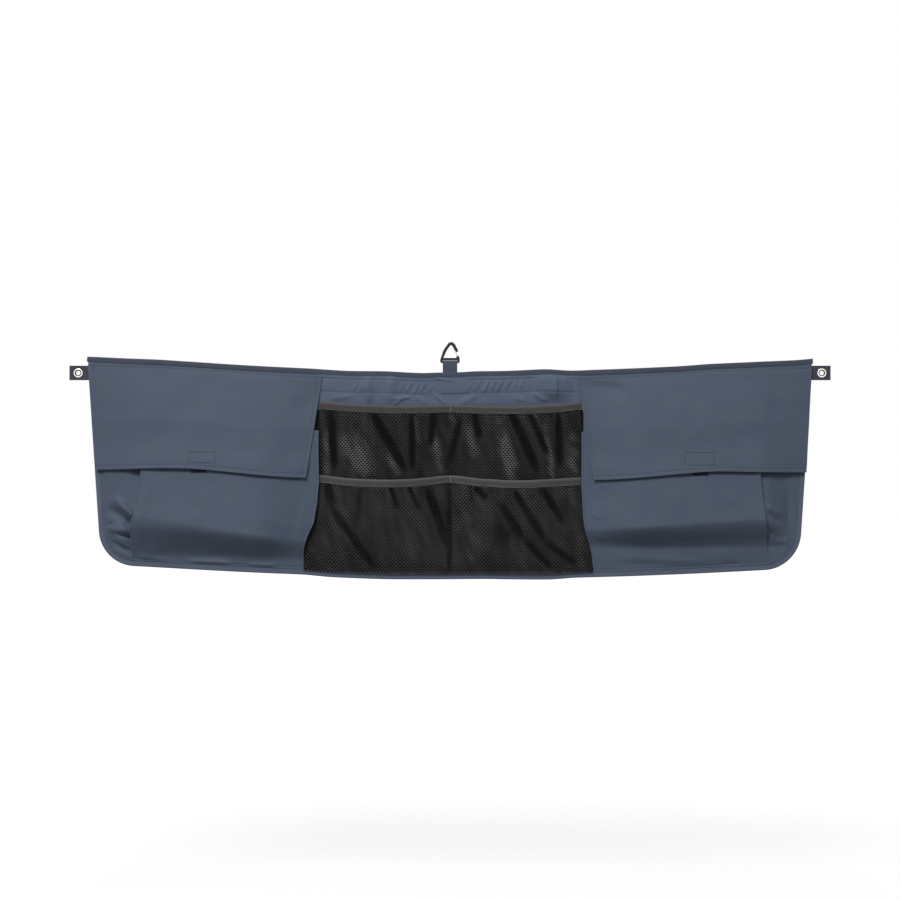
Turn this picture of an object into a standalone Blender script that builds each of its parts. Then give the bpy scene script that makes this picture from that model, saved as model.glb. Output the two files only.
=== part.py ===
"""A hanging organizer: a wide cloth panel with two flapped cargo pockets and four mesh pockets.

Metres. +X is to the viewer's right, the front faces -Y and +Z is up. The origin lies on the
panel's back plane, midway between the two side eyelets that the organizer hangs from.
"""

import math

import bmesh
import bpy
from mathutils import Vector

# Sheets and the clearance between pieces that touch
CLOTH = 0.0010
MESH = 0.0008
TAPE = 0.0006
WEBBING = 0.0012
PATCH = 0.0012
GAP = 0.0003

# Panel
PANEL_WIDTH = 1.244
BOTTOM_WIDTH = 1.202
PANEL_HEIGHT = 0.355
CORNER_RADIUS = 0.065
TOP_SAG = 0.025

# Bindings
TOP_BINDING = 0.008
TOP_BINDING_OVERHANG = 0.0035
EDGE_BINDING = 0.008

# Webbing across the back, whose ends are the side tabs
WEBBING_WIDTH = 0.025
WEBBING_DROP = 0.025
TAB_LENGTH = 0.035
TAB_HEM = 0.045

# Eyelets
EYELET_BORE_RADIUS = 0.0040
EYELET_WALL = 0.0006
EYELET_FLANGE_RADIUS = 0.0080
EYELET_FLANGE = 0.0010
EYELET_FROM_TAB_END = 0.0155
EYELET_ROLL = 0.0012
WASHER = 0.0008

# Cargo pockets, measured from the middle outwards
POCKET_INNER_TOP = 0.226
POCKET_INNER_FLARE = 0.028
FLARE_START = 0.190
FLARE_HEIGHT = 0.130
GUSSET_TOP_WIDTH = 0.0844
GUSSET_BOTTOM_WIDTH = 0.0466
MOUTH_DROP = 0.105
POCKET_DEPTH = 0.040
MOUTH_SHARE = 0.50
INNER_SHARE = 0.38
CREASE_SHARE = 0.85
BULGE_HEIGHT_SHARE = 0.60
UNDERSIDE_START = 0.62
UNDERSIDE_END = 0.93
INNER_ROUND_SHARE = 0.35
CREASE_ROUND_SHARE = 0.30
GUSSET_HOLLOW = 1.3
GUSSET_FOOT_WIDTH = 0.006
INNER_GUSSET_LEAST = 0.005
INNER_GUSSET_SETBACK = 0.002

# Flaps
FLAP_DROP = 0.0090
FLAP_INNER_LAP = 0.006
FLAP_INNER_SETBACK = 0.021
FLAP_INNER_REACH = 0.184
FLAP_OUTER_REACH = 0.169
FLAP_LEVEL_FROM = 0.476

# Hook-and-loop patches, which hold a flap off its pocket
PATCH_PLAY = 0.0004
PATCH_FROM_MIDDLE = 0.4305
LOOP_PATCH_WIDTH = 0.026
LOOP_PATCH_HEIGHT = 0.050
LOOP_PATCH_BOTTOM = -0.176
HOOK_PATCH_WIDTH = 0.051
HOOK_PATCH_HEIGHT = 0.023
HOOK_PATCH_LEVEL = -0.149

# Mesh pockets and their elastic mouths
ELASTIC_WIDTH = 0.012
ELASTIC_DIP = 0.007
UPPER_MOUTH_SIDE = -0.047
UPPER_MOUTH_MIDDLE = -0.054
LOWER_MOUTH_SIDE = -0.177
LOWER_MOUTH_MIDDLE = -0.176
UPPER_MOUTH_OPEN = 0.009
UPPER_BULGE = 0.009
LOWER_MOUTH_OPEN = 0.009
LOWER_BULGE = 0.008
MESH_ROUNDNESS = 1.2
BELLY_HEIGHT = 0.8
BAR_TACK_WIDTH = 0.0020

# Centre strap and snap hook
STRAP_FOLD_LEVEL = 0.0032
BAR_LEVEL = 0.0186
HOOK_WIRE_RADIUS = 0.0016
CROSSBAR_RADIUS = 0.0013
CROSSBAR_RISE = 0.0051
EAR_CLEARANCE = 0.0007
EAR_BEND = 0.0022
HOOK_SHOULDER_RISE = 0.0045
HOOK_SHOULDER_BEND = 0.0080
HOOK_NECK_RISE = 0.0055
HOOK_NECK_BEND = 0.0040
HOOK_APEX_RISE = 0.0345
HOOK_APEX_OFFSET = 0.0012
HOOK_APEX_BEND = 0.0045
HOOK_NOSE = (0.0114, 0.0198)
HOOK_PIVOT = (0.0133, 0.0090)
KNOB_RADIUS = 0.0021
GATE_WIRE_RADIUS = 0.0006
GATE_TIP = (0.0084, 0.0202)

# Worked out from the sizes above
HALF_TOP = PANEL_WIDTH / 2
HALF_BOTTOM = BOTTOM_WIDTH / 2
PANEL_FRONT = -CLOTH
ON_PANEL = CLOTH + GAP + CLOTH / 2
BINDING_REACH = CLOTH / 2 + GAP + TAPE / 2
BINDING_BACK = GAP + TAPE
FLAP_BASE = CLOTH + GAP + TAPE + 2 * GAP + CLOTH / 2
FLAP_STANDOFF = CLOTH + 3 * GAP + 2 * PATCH + PATCH_PLAY
HOOK_EAR = WEBBING_WIDTH / 2 + EAR_CLEARANCE + HOOK_WIRE_RADIUS
UPPER_MESH_BASE = CLOTH + GAP + TAPE + GAP + MESH / 2
LOWER_MESH_BASE = UPPER_MESH_BASE + MESH + GAP + TAPE + GAP
STRAP_Y = GAP + WEBBING + GAP + WEBBING
TAB_END = HALF_TOP + TAB_LENGTH
EYELET_X = TAB_END - EYELET_FROM_TAB_END
TAB_FRONT_Y = BINDING_BACK + GAP + WEBBING / 2
TAB_BACK_Y = TAB_FRONT_Y + WEBBING + GAP

SIDES = (("left", -1), ("right", 1))

parts = None
cutters = None


# Small helpers


def ease(t):
    """0 below 0, 1 above 1 and a smooth step between."""
    t = min(max(t, 0.0), 1.0)
    return t * t * (3 - 2 * t)


def between(a, b, t):
    return a + (b - a) * t


def clear_scene():
    for thing in list(bpy.data.objects):
        bpy.data.objects.remove(thing, do_unlink=True)


def collection(name):
    made = bpy.data.collections.new(name)
    bpy.context.scene.collection.children.link(made)
    return made


def linear(hex_colour):
    """An sRGB hex colour as the linear values a shader takes."""
    values = [int(hex_colour[i : i + 2], 16) / 255 for i in (1, 3, 5)]
    return [v / 12.92 if v <= 0.04045 else ((v + 0.055) / 1.055) ** 2.4 for v in values] + [1.0]


def finish(name, colour, roughness, metallic=0.0):
    made = bpy.data.materials.new(name)
    made.use_nodes = True
    shader = made.node_tree.nodes["Principled BSDF"]
    shader.inputs["Base Color"].default_value = linear(colour)
    shader.inputs["Roughness"].default_value = roughness
    shader.inputs["Metallic"].default_value = metallic
    return made


def cloth_finish(name):
    return finish(name, "#525b6a", 0.75)


def tape_finish(name):
    return finish(name, "#414955", 0.70)


def webbing_finish(name):
    return finish(name, "#454a57", 0.80)


def black_finish(name):
    return finish(name, "#232427", 0.85)


def elastic_finish(name):
    return finish(name, "#474447", 0.85)


def nickel_finish(name):
    return finish(name, "#c9c8c4", 0.25, 1.0)


def place_object(name, data, material, origin=(0, 0, 0)):
    thing = bpy.data.objects.new(name, data)
    thing.location = origin
    data.materials.append(material)
    parts.objects.link(thing)
    return thing


def sheet(name, columns, rows, place, thickness, material, origin=(0, 0, 0)):
    """A grid of faces whose points go where place(u, v) puts them, made a solid by Solidify.

    u and v run from 0 to 1. The placed surface is the middle of the sheet's thickness.
    """
    shape = bmesh.new()
    bmesh.ops.create_grid(shape, x_segments=columns, y_segments=rows, size=0.5)
    for point in shape.verts:
        point.co = Vector(place(point.co.x + 0.5, point.co.y + 0.5)) - Vector(origin)
    bmesh.ops.remove_doubles(shape, verts=shape.verts, dist=0.00001)
    mesh = bpy.data.meshes.new(name)
    shape.to_mesh(mesh)
    shape.free()
    thing = place_object(name, mesh, material, origin)
    solid = thing.modifiers.new("Thickness", "SOLIDIFY")
    solid.thickness = thickness
    solid.offset = 0.0
    solid.use_even_offset = True
    return thing


def ribbon(name, path, profile, thickness, material):
    """A band that follows a path of (x, y, z) points.

    Its profile is a list of (inwards, y) points, and inwards is square to the path.
    """

    def place(u, v):
        i = round(u * (len(path) - 1))
        inwards, depth = profile[round(v * (len(profile) - 1))]
        before = path[max(i - 1, 0)]
        after = path[min(i + 1, len(path) - 1)]
        along = Vector((after[0] - before[0], after[2] - before[2])).normalized()
        x, y, z = path[i]
        return (x - along.y * inwards, y + depth, z + along.x * inwards)

    return sheet(name, len(path) - 1, len(profile) - 1, place, thickness, material)


def folded_profile(width, lap=BINDING_REACH):
    """A tape folded over an edge: down the front, over the edge and down the back."""
    over = -(GAP + TAPE / 2)
    return [(width, -lap), (over, -lap), (over, lap), (width, lap)]


def flat_plate(name, outline, thickness, front_y, material):
    """A flat outline of (x, z) points, extruded from its front face backwards."""
    curve = bpy.data.curves.new(name, "CURVE")
    curve.dimensions = "2D"
    curve.fill_mode = "BOTH"
    curve.extrude = thickness / 2
    curve.resolution_u = 1
    curve.render_resolution_u = 0
    spline = curve.splines.new("POLY")
    spline.points.add(len(outline) - 1)
    for point, (x, z) in zip(spline.points, outline):
        point.co = (x, z, 0, 1)
    spline.use_cyclic_u = True
    thing = place_object(name, curve, material, (0, front_y + thickness / 2, 0))
    thing.rotation_euler = (math.pi / 2, 0, 0)
    return thing


def tube(name, points, radius, material, origin, closed=False, sides=2):
    """A round wire along a list of points."""
    curve = bpy.data.curves.new(name, "CURVE")
    curve.dimensions = "3D"
    curve.bevel_depth = radius
    curve.bevel_resolution = sides
    curve.use_fill_caps = True
    curve.resolution_u = 1
    curve.render_resolution_u = 0
    spline = curve.splines.new("POLY")
    spline.points.add(len(points) - 1)
    for point, place in zip(spline.points, points):
        point.co = (*(Vector(place) - Vector(origin)), 1)
    spline.use_cyclic_u = closed
    return place_object(name, curve, material, origin)


def as_mesh(thing):
    """The same object with its curve turned into a welded mesh, ready for a Boolean."""
    bpy.context.view_layer.update()
    evaluated = thing.evaluated_get(bpy.context.evaluated_depsgraph_get())
    mesh = bpy.data.meshes.new_from_object(evaluated)
    shape = bmesh.new()
    shape.from_mesh(mesh)
    bmesh.ops.remove_doubles(shape, verts=shape.verts, dist=0.00001)
    shape.to_mesh(mesh)
    shape.free()
    name = thing.name
    matrix = thing.matrix_world.copy()
    home = thing.users_collection[0]
    old = thing.data
    bpy.data.objects.remove(thing)
    bpy.data.curves.remove(old)
    made = bpy.data.objects.new(name, mesh)
    made.matrix_world = matrix
    home.objects.link(made)
    return made


def as_cutter(thing):
    """Kept out of the model: only other pieces' Booleans use it."""
    for home in thing.users_collection:
        home.objects.unlink(thing)
    cutters.objects.link(thing)
    thing.hide_render = True
    thing.display_type = "WIRE"
    return thing


def boolean(thing, operation, other):
    step = thing.modifiers.new(operation.title(), "BOOLEAN")
    step.operation = operation
    step.object = as_cutter(other)


def cylinder(name, radius, length, centre, segments=32):
    """A round bar along Y."""
    mesh = bpy.data.meshes.new(name)
    shape = bmesh.new()
    bmesh.ops.create_cone(
        shape, cap_ends=True, segments=segments, radius1=radius, radius2=radius, depth=length
    )
    shape.to_mesh(mesh)
    shape.free()
    thing = bpy.data.objects.new(name, mesh)
    thing.location = centre
    thing.rotation_euler = (math.pi / 2, 0, 0)
    parts.objects.link(thing)
    return thing


def turned(name, profile, centre, material, steps=28):
    """A closed profile of (radius, towards the front) points, turned about a line along Y."""
    mesh = bpy.data.meshes.new(name)
    points = [(radius, 0, height) for radius, height in profile]
    rims = [(i, (i + 1) % len(points)) for i in range(len(points))]
    mesh.from_pydata(points, rims, [])
    thing = place_object(name, mesh, material, centre)
    thing.rotation_euler = (math.pi / 2, 0, 0)
    screw = thing.modifiers.new("Turn", "SCREW")
    screw.axis = "Z"
    screw.angle = math.tau
    screw.steps = steps
    screw.render_steps = steps
    screw.use_merge_vertices = True
    screw.merge_threshold = 0.00001
    screw.use_smooth_shade = True
    return thing


def rounded(corners, steps=5):
    """A path of points through corners, each (x, z, radius), with an arc at each inner one."""
    points = [corners[0][:2]]
    for before, corner, after in zip(corners, corners[1:], corners[2:]):
        middle = Vector(corner[:2])
        back = (Vector(before[:2]) - middle).normalized()
        ahead = (Vector(after[:2]) - middle).normalized()
        half = back.angle(ahead) / 2
        bisector = (back + ahead).normalized()
        centre = middle + bisector * corner[2] / math.sin(half)
        first = middle + back * corner[2] / math.tan(half) - centre
        last = middle + ahead * corner[2] / math.tan(half) - centre
        turn = first.angle_signed(last)
        for i in range(steps + 1):
            angle = -turn * i / steps
            x = first.x * math.cos(angle) - first.y * math.sin(angle)
            z = first.x * math.sin(angle) + first.y * math.cos(angle)
            points.append((centre.x + x, centre.y + z))
    points.append(corners[-1][:2])
    return points


# The panel's outline


def top_edge(x):
    """The height of the panel's top edge, which sags between its ends."""
    return TOP_SAG * (x / HALF_TOP) ** 2


def bottom_edge(x):
    return top_edge(x) - PANEL_HEIGHT


def side_edge(z):
    """How far from the middle the panel's side is at height z."""
    corner = bottom_edge(HALF_BOTTOM)
    return between(HALF_BOTTOM, HALF_TOP, (z - corner) / (TOP_SAG - corner))


def right_edge(top_level):
    """Points from a height on the right side, down and round the corner, to the middle below."""
    corner = bottom_edge(HALF_BOTTOM)
    inner = HALF_BOTTOM - 2 * CORNER_RADIUS
    bend = rounded(
        [
            (side_edge(top_level), top_level, 0),
            (HALF_BOTTOM, corner, CORNER_RADIUS),
            (inner, bottom_edge(inner), 0),
        ],
        steps=10,
    )
    first = bend[1]
    side = [
        (between(bend[0][0], first[0], i / 4), between(bend[0][1], first[1], i / 4)) for i in range(4)
    ]
    bottom = [(inner * (1 - i / 8), bottom_edge(inner * (1 - i / 8))) for i in range(9)]
    return side + bend[1:-1] + bottom


def corner_inset(z, inset):
    """How far from the middle the edge lies at height z, moved inwards, round the corner too."""
    along = side_edge(z) - inset
    centre_x = HALF_BOTTOM - CORNER_RADIUS
    centre_z = bottom_edge(HALF_BOTTOM) + CORNER_RADIUS
    below = centre_z - z
    reach = CORNER_RADIUS - inset
    if below <= 0:
        return along
    return min(along, centre_x + math.sqrt(max(reach**2 - below**2, 0.0)))


def build_panel():
    right = right_edge(TOP_SAG)
    left = [(-x, z) for x, z in reversed(right[:-1])]
    top = [(x, top_edge(x)) for x in (HALF_TOP * (i / 12 - 1) for i in range(1, 24))]
    flat_plate("back_panel", right + left + top, CLOTH, PANEL_FRONT, cloth_finish("Panel cloth"))


def build_bindings():
    middle_y = PANEL_FRONT / 2
    tape = tape_finish("Binding tape")
    reach = HALF_TOP + TOP_BINDING_OVERHANG
    top = [(x, middle_y, top_edge(x)) for x in (reach * (1 - i / 12) for i in range(25))]
    ribbon("top_binding", top, folded_profile(TOP_BINDING), TAPE, tape)
    right = right_edge(TOP_SAG - TOP_BINDING - 5 * GAP)
    left = [(-x, z) for x, z in reversed(right[:-1])]
    down_left = [(-x, z) for x, z in right]
    up_right = [(-x, z) for x, z in left]
    edge = [(x, middle_y, z) for x, z in down_left + up_right]
    ribbon("edge_binding", edge, folded_profile(EDGE_BINDING), TAPE, tape_finish("Edge tape"))


# The webbing, its tabs and their eyelets


def webbing_path():
    """Points (x, y) along the webbing: across the back, over the binding and folded at each end."""
    step_from = HALF_TOP - 0.040
    step_to = HALF_TOP - 0.016
    flat_y = GAP + WEBBING / 2
    across = [step_from * i / 10 for i in range(11)] + [step_to]
    half = [(x, between(flat_y, TAB_FRONT_Y, ease((x - step_from) / (step_to - step_from)))) for x in across]
    fold_radius = (TAB_BACK_Y - TAB_FRONT_Y) / 2
    fold_x = TAB_END - fold_radius - WEBBING / 2
    half.append((EYELET_X, TAB_FRONT_Y))
    for i in range(5):
        angle = math.pi * i / 4
        half.append(
            (fold_x + fold_radius * math.sin(angle), TAB_FRONT_Y + fold_radius * (1 - math.cos(angle)))
        )
    half.append((TAB_END - TAB_HEM, TAB_BACK_Y))
    return [(-x, y) for x, y in reversed(half[1:])] + half


def build_webbing():
    path = webbing_path()

    def place(u, v):
        x, y = path[round(u * (len(path) - 1))]
        level = top_edge(min(abs(x), HALF_TOP)) - WEBBING_DROP
        return (x, y, level + WEBBING_WIDTH * (v - 0.5))

    webbing = sheet(
        "hanging_webbing", len(path) - 1, 1, place, WEBBING, webbing_finish("Hanging webbing")
    )
    hole = EYELET_BORE_RADIUS + EYELET_WALL + GAP
    for name, side in SIDES:
        punch = cylinder(f"{name}_punch", hole, 0.02, (side * EYELET_X, TAB_FRONT_Y, 0))
        boolean(webbing, "DIFFERENCE", punch)


def build_eyelets():
    front = TAB_FRONT_Y - WEBBING / 2 - GAP
    back = TAB_BACK_Y + WEBBING / 2 + GAP
    bore = EYELET_BORE_RADIUS
    barrel = bore + EYELET_WALL
    rim = EYELET_FLANGE_RADIUS
    depth = back - front + WASHER + GAP
    bend = 0.0003
    eyelet = [
        (bore + bend, EYELET_FLANGE),
        (rim - bend, EYELET_FLANGE),
        (rim, EYELET_FLANGE - bend),
        (rim, 0),
        (barrel, 0),
        (barrel, -depth),
        (barrel + EYELET_ROLL, -depth),
        (barrel + EYELET_ROLL, -depth - EYELET_WALL),
        (bore + bend, -depth - EYELET_WALL),
        (bore, -depth - EYELET_WALL + bend),
        (bore, EYELET_FLANGE - bend),
    ]
    inner = barrel + GAP
    washer = [(inner, 0), (rim, 0), (rim, -WASHER), (inner, -WASHER)]
    for name, side in SIDES:
        x = side * EYELET_X
        turned(f"{name}_eyelet", eyelet, (x, front, 0), nickel_finish(f"{name} eyelet"))
        turned(f"{name}_eyelet_washer", washer, (x, back, 0), nickel_finish(f"{name} washer"))


# Cargo pockets


def pocket_inner(z):
    """How far from the middle a cargo pocket's inner edge is at height z."""
    return POCKET_INNER_TOP + POCKET_INNER_FLARE * ease((-z - FLARE_START) / FLARE_HEIGHT)


def pocket_crease(z):
    """How far from the middle the fold between a pocket's front and its outer gusset is."""
    depth = (-z - MOUTH_DROP) / (PANEL_HEIGHT - MOUTH_DROP)
    width = between(GUSSET_TOP_WIDTH, GUSSET_BOTTOM_WIDTH, min(max(depth, 0.0), 1.0))
    return side_edge(z) - width


def mouth_level(x):
    return top_edge(x) - MOUTH_DROP


def seam_level(x):
    """The height of the seam at a pocket's bottom, just above the edge binding."""
    inset = EDGE_BINDING + 2 * GAP
    reach = CORNER_RADIUS - inset
    past = max(x - (HALF_BOTTOM - CORNER_RADIUS), 0.0)
    bend = reach - math.sqrt(max(reach**2 - past**2, 0.0))
    return bottom_edge(x) + inset + bend


def bulge(x, z):
    """How full a cargo pocket is at height z: 1 at its fullest, 0 at the bottom seam."""
    top = mouth_level(x)
    down = (top - z) / (top - seam_level(x))
    filling = between(MOUTH_SHARE, 1.0, ease(down / BULGE_HEIGHT_SHARE))
    turning_under = ease((down - UNDERSIDE_START) / (UNDERSIDE_END - UNDERSIDE_START))
    return filling * (1 - turning_under)


def front_depth(x, z):
    """How far in front of the panel's back plane a pocket's front lies."""
    inner = pocket_inner(z)
    across = (x - inner) / (pocket_crease(z) - inner)
    full = between(INNER_SHARE, 1.0, ease(across / INNER_ROUND_SHARE))
    full -= (1 - CREASE_SHARE) * ease((across - 1) / CREASE_ROUND_SHARE + 1)
    return ON_PANEL + POCKET_DEPTH * full * bulge(x, z)


def gusset_seam(z):
    return corner_inset(z, EDGE_BINDING + 2 * GAP)


def gusset_depth(x, z):
    """The outer gusset falls from the crease to the seam beside the edge binding."""
    crease = pocket_crease(z)
    across = (x - crease) / max(gusset_seam(z) - crease, 0.0001)
    fall = (1 - min(max(across, 0.0), 1.0)) ** GUSSET_HOLLOW
    return ON_PANEL + (front_depth(crease, z) - ON_PANEL) * fall


def pocket_depth(x, z):
    """The depth of the pocket's outside wherever a flap may lie over it."""
    z = min(z, mouth_level(x))
    if x > pocket_crease(z):
        return gusset_depth(x, z)
    return front_depth(max(x, pocket_inner(z)), z)


def build_pocket(name, side):
    crease_foot = pocket_crease(-PANEL_HEIGHT)
    crease_top = pocket_crease(-MOUTH_DROP)

    def front(u, v):
        seam_x = between(POCKET_INNER_TOP + POCKET_INNER_FLARE, crease_foot, u)
        mouth_x = between(POCKET_INNER_TOP, crease_top, u)
        z = between(seam_level(seam_x), mouth_level(mouth_x), v)
        x = between(pocket_inner(z), pocket_crease(z), u)
        return (side * x, -front_depth(x, z), z)

    sheet(f"{name}_pocket_front", 16, 14, front, CLOTH, cloth_finish(f"{name} front cloth"))

    foot = gusset_foot()

    def outer_gusset(u, v):
        mouth = mouth_level(between(crease_top, gusset_seam(mouth_level(HALF_BOTTOM)), u))
        z = between(foot, mouth, v)
        x = between(pocket_crease(z) + CLOTH + GAP, gusset_seam(z), u)
        return (side * x, -gusset_depth(x, z), z)

    sheet(f"{name}_outer_gusset", 6, 12, outer_gusset, CLOTH, cloth_finish(f"{name} outer cloth"))
    inner_foot = inner_gusset_foot()

    def inner_gusset(u, v):
        z = between(inner_foot, mouth_level(POCKET_INNER_TOP), v)
        x = pocket_inner(z) + INNER_GUSSET_SETBACK
        depth = front_depth(x, z) - CLOTH - GAP
        return (side * x, -between(CLOTH + GAP, depth, u), z)

    sheet(f"{name}_inner_gusset", 2, 10, inner_gusset, CLOTH, cloth_finish(f"{name} inner cloth"))


def gusset_foot():
    """The height where the outer gusset narrows to nothing against the round corner."""
    z = mouth_level(HALF_BOTTOM)
    lowest = seam_level(HALF_BOTTOM - CORNER_RADIUS)
    while z > lowest and gusset_seam(z) - pocket_crease(z) > GUSSET_FOOT_WIDTH:
        z -= CLOTH
    return z


def inner_gusset_foot():
    """The height where the pocket's inner edge comes down to the panel."""
    z = mouth_level(POCKET_INNER_TOP)
    lowest = seam_level(POCKET_INNER_TOP + POCKET_INNER_FLARE)
    while z > lowest and front_depth(pocket_inner(z), z) > INNER_GUSSET_LEAST:
        z -= CLOTH
    return z


def on_front(side, level, height, width, lift):
    """Where a patch's points go: a rectangle lying on a pocket's front, lifted off it."""

    def place(u, v):
        x = PATCH_FROM_MIDDLE + width * (u - 0.5)
        z = level + height * (v - 0.5)
        return (side * x, -front_depth(x, z) - lift, z)

    return place


def build_loop_patch(name, side):
    lift = CLOTH / 2 + GAP + PATCH / 2
    level = LOOP_PATCH_BOTTOM + LOOP_PATCH_HEIGHT / 2
    place = on_front(side, level, LOOP_PATCH_HEIGHT, LOOP_PATCH_WIDTH, lift)
    sheet(f"{name}_loop_patch", 2, 4, place, PATCH, black_finish(f"{name} loop"))


# Flaps


def flap_hinge(x):
    """The height of the straight seam a flap turns about, just below the top binding."""
    inner = POCKET_INNER_TOP - FLAP_INNER_LAP
    start = top_edge(inner)
    end = top_edge(HALF_TOP)
    chord = between(start, end, (x - inner) / (HALF_TOP - inner))
    half_span = (HALF_TOP - inner) / 2
    bow = TOP_SAG * (half_span / HALF_TOP) ** 2
    return chord - bow - FLAP_DROP


def flap_foot(x):
    inner = POCKET_INNER_TOP + FLAP_INNER_SETBACK
    rise = ease((x - inner) / (FLAP_LEVEL_FROM - inner))
    return -between(FLAP_INNER_REACH, FLAP_OUTER_REACH, rise)


def flap_depth(x, z):
    """A flap runs straight from its seam to the pocket's mouth, then lies on the pocket."""
    hinge = flap_hinge(x)
    down = (hinge - z) / (hinge - mouth_level(x))
    on_pocket = min(2 * ease(down / 2), 1.0)
    return between(FLAP_BASE, pocket_depth(x, z) + FLAP_STANDOFF, on_pocket)


def flap_pivot(side):
    x = POCKET_INNER_TOP - FLAP_INNER_LAP
    return (side * x, -FLAP_BASE, flap_hinge(x))


def build_flap(name, side):
    pivot = flap_pivot(side)

    def place(u, v):
        inner = POCKET_INNER_TOP + between(FLAP_INNER_SETBACK, -FLAP_INNER_LAP, v)
        outer = side_edge(between(flap_foot(HALF_TOP), flap_hinge(HALF_TOP), v))
        x = between(inner, outer, u)
        z = between(flap_foot(x), flap_hinge(x), v)
        return (side * x, -flap_depth(x, z), z)

    sheet(f"{name}_flap", 16, 10, place, CLOTH, cloth_finish(f"{name} flap cloth"), pivot)
    lift = FLAP_STANDOFF - CLOTH / 2 - GAP - PATCH / 2
    patch = on_front(side, HOOK_PATCH_LEVEL, HOOK_PATCH_HEIGHT, HOOK_PATCH_WIDTH, lift)
    sheet(f"{name}_hook_patch", 4, 2, patch, PATCH, black_finish(f"{name} hooks"), pivot)


# Mesh pockets


def mouth_line(side_level, middle_level):
    """The top of an elastic mouth: pinned at the middle and at both ends, dipping between."""

    def level(x):
        across = min(abs(x) / POCKET_INNER_TOP, 1.0)
        return between(middle_level, side_level, across) - ELASTIC_DIP * math.sin(math.pi * across) ** 2

    return level


def mesh_depth(x, z, top, base, mouth_open, belly):
    """A mesh pocket stands off the panel between its seams, more below its elastic mouth."""
    inner = pocket_inner(z) - CLOTH
    across = math.sin(math.pi * min(abs(x) / inner, 1.0)) ** MESH_ROUNDNESS
    down = (top - ELASTIC_WIDTH - z) / (top - ELASTIC_WIDTH - seam_level(x))
    down = min(max(down, 0.0), 1.0)
    swell = belly * math.sin(math.pi * down**BELLY_HEIGHT) + mouth_open * (1 - ease(down))
    return base + across * swell


def upper_depth(x, z):
    top = mouth_line(UPPER_MOUTH_SIDE, UPPER_MOUTH_MIDDLE)(x)
    return mesh_depth(x, z, top, UPPER_MESH_BASE, UPPER_MOUTH_OPEN, UPPER_BULGE)


def lower_depth(x, z):
    top = mouth_line(LOWER_MOUTH_SIDE, LOWER_MOUTH_MIDDLE)(x)
    inner_layer = upper_depth(x, min(z, top - ELASTIC_WIDTH)) - UPPER_MESH_BASE
    return inner_layer + mesh_depth(x, z, top, LOWER_MESH_BASE, LOWER_MOUTH_OPEN, LOWER_BULGE)


def build_mesh_pocket(name, level, depth):
    rows = 9

    def place(u, v):
        x = between(-1, 1, u) * (POCKET_INNER_TOP - CLOTH)
        top = level(x)
        below_elastic = top - ELASTIC_WIDTH - GAP
        row = round((1 - v) * rows)
        z = top if row == 0 else between(below_elastic, seam_level(x), (row - 1) / (rows - 1))
        x = between(-1, 1, u) * (pocket_inner(z) - CLOTH)
        return (x, -depth(x, z), z)

    sheet(f"{name}_mesh", 24, rows, place, MESH, black_finish(f"{name} net"))
    reach = POCKET_INNER_TOP - CLOTH
    mouth = [(x, -depth(x, level(x)), level(x)) for x in (reach * (1 - i / 12) for i in range(25))]
    lap = MESH / 2 + GAP + TAPE / 2
    profile = folded_profile(ELASTIC_WIDTH, lap)
    ribbon(f"{name}_elastic", mouth, profile, TAPE, elastic_finish(f"{name} elastic"))


def build_bar_tack(name, level, base):
    """A block of thread that holds an elastic mouth to the panel at the middle."""
    mesh = bpy.data.meshes.new(name)
    shape = bmesh.new()
    bmesh.ops.create_cube(shape, size=1.0)
    shape.to_mesh(mesh)
    shape.free()
    front = -(base + MESH / 2 + GAP + TAPE + GAP + TAPE / 2)
    centre = (0, front, level(0) - ELASTIC_WIDTH / 2)
    tack = place_object(name, mesh, finish(f"{name} thread", "#b9b6b0", 0.6), centre)
    tack.scale = (BAR_TACK_WIDTH, TAPE, ELASTIC_WIDTH)


# The centre strap and its snap hook


def build_strap():
    fold = WEBBING / 2 + GAP / 2
    loop = HOOK_WIRE_RADIUS + GAP + WEBBING / 2
    rise = BAR_LEVEL - STRAP_FOLD_LEVEL
    lean = math.asin((loop - fold) / rise)
    path = []
    for i in range(13):
        angle = -lean + (math.pi + 2 * lean) * i / 12
        path.append((loop * math.cos(angle), rise + loop * math.sin(angle)))
    for i in range(9):
        angle = math.pi + lean + (math.pi - 2 * lean) * i / 8
        path.append((fold * math.cos(angle), fold * math.sin(angle)))
    path.append(path[0])

    def place(u, v):
        y, z = path[round(u * (len(path) - 1))]
        return (WEBBING_WIDTH * (v - 0.5), STRAP_Y + y, STRAP_FOLD_LEVEL + z)

    origin = (0, STRAP_Y, STRAP_FOLD_LEVEL)
    sheet(
        "centre_strap", len(path) - 1, 1, place, WEBBING, webbing_finish("Strap webbing"), origin
    )


def build_strap_anchor():
    """The strap's sewn ends: two layers of webbing behind the hanging webbing."""
    top = STRAP_FOLD_LEVEL - WEBBING - GAP / 2 - 2 * GAP
    bottom = -WEBBING_DROP - WEBBING_WIDTH / 2
    mesh = bpy.data.meshes.new("strap_anchor")
    shape = bmesh.new()
    bmesh.ops.create_cube(shape, size=1.0)
    shape.to_mesh(mesh)
    shape.free()
    centre = (0, STRAP_Y, (top + bottom) / 2)
    anchor = place_object("strap_anchor", mesh, webbing_finish("Anchor webbing"), centre)
    anchor.scale = (WEBBING_WIDTH, 2 * WEBBING, top - bottom)


def at_hook(points):
    """Points (x, height above the bar) in the hook's plane, as places."""
    return [(x, STRAP_Y, BAR_LEVEL + z) for x, z in points]


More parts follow.
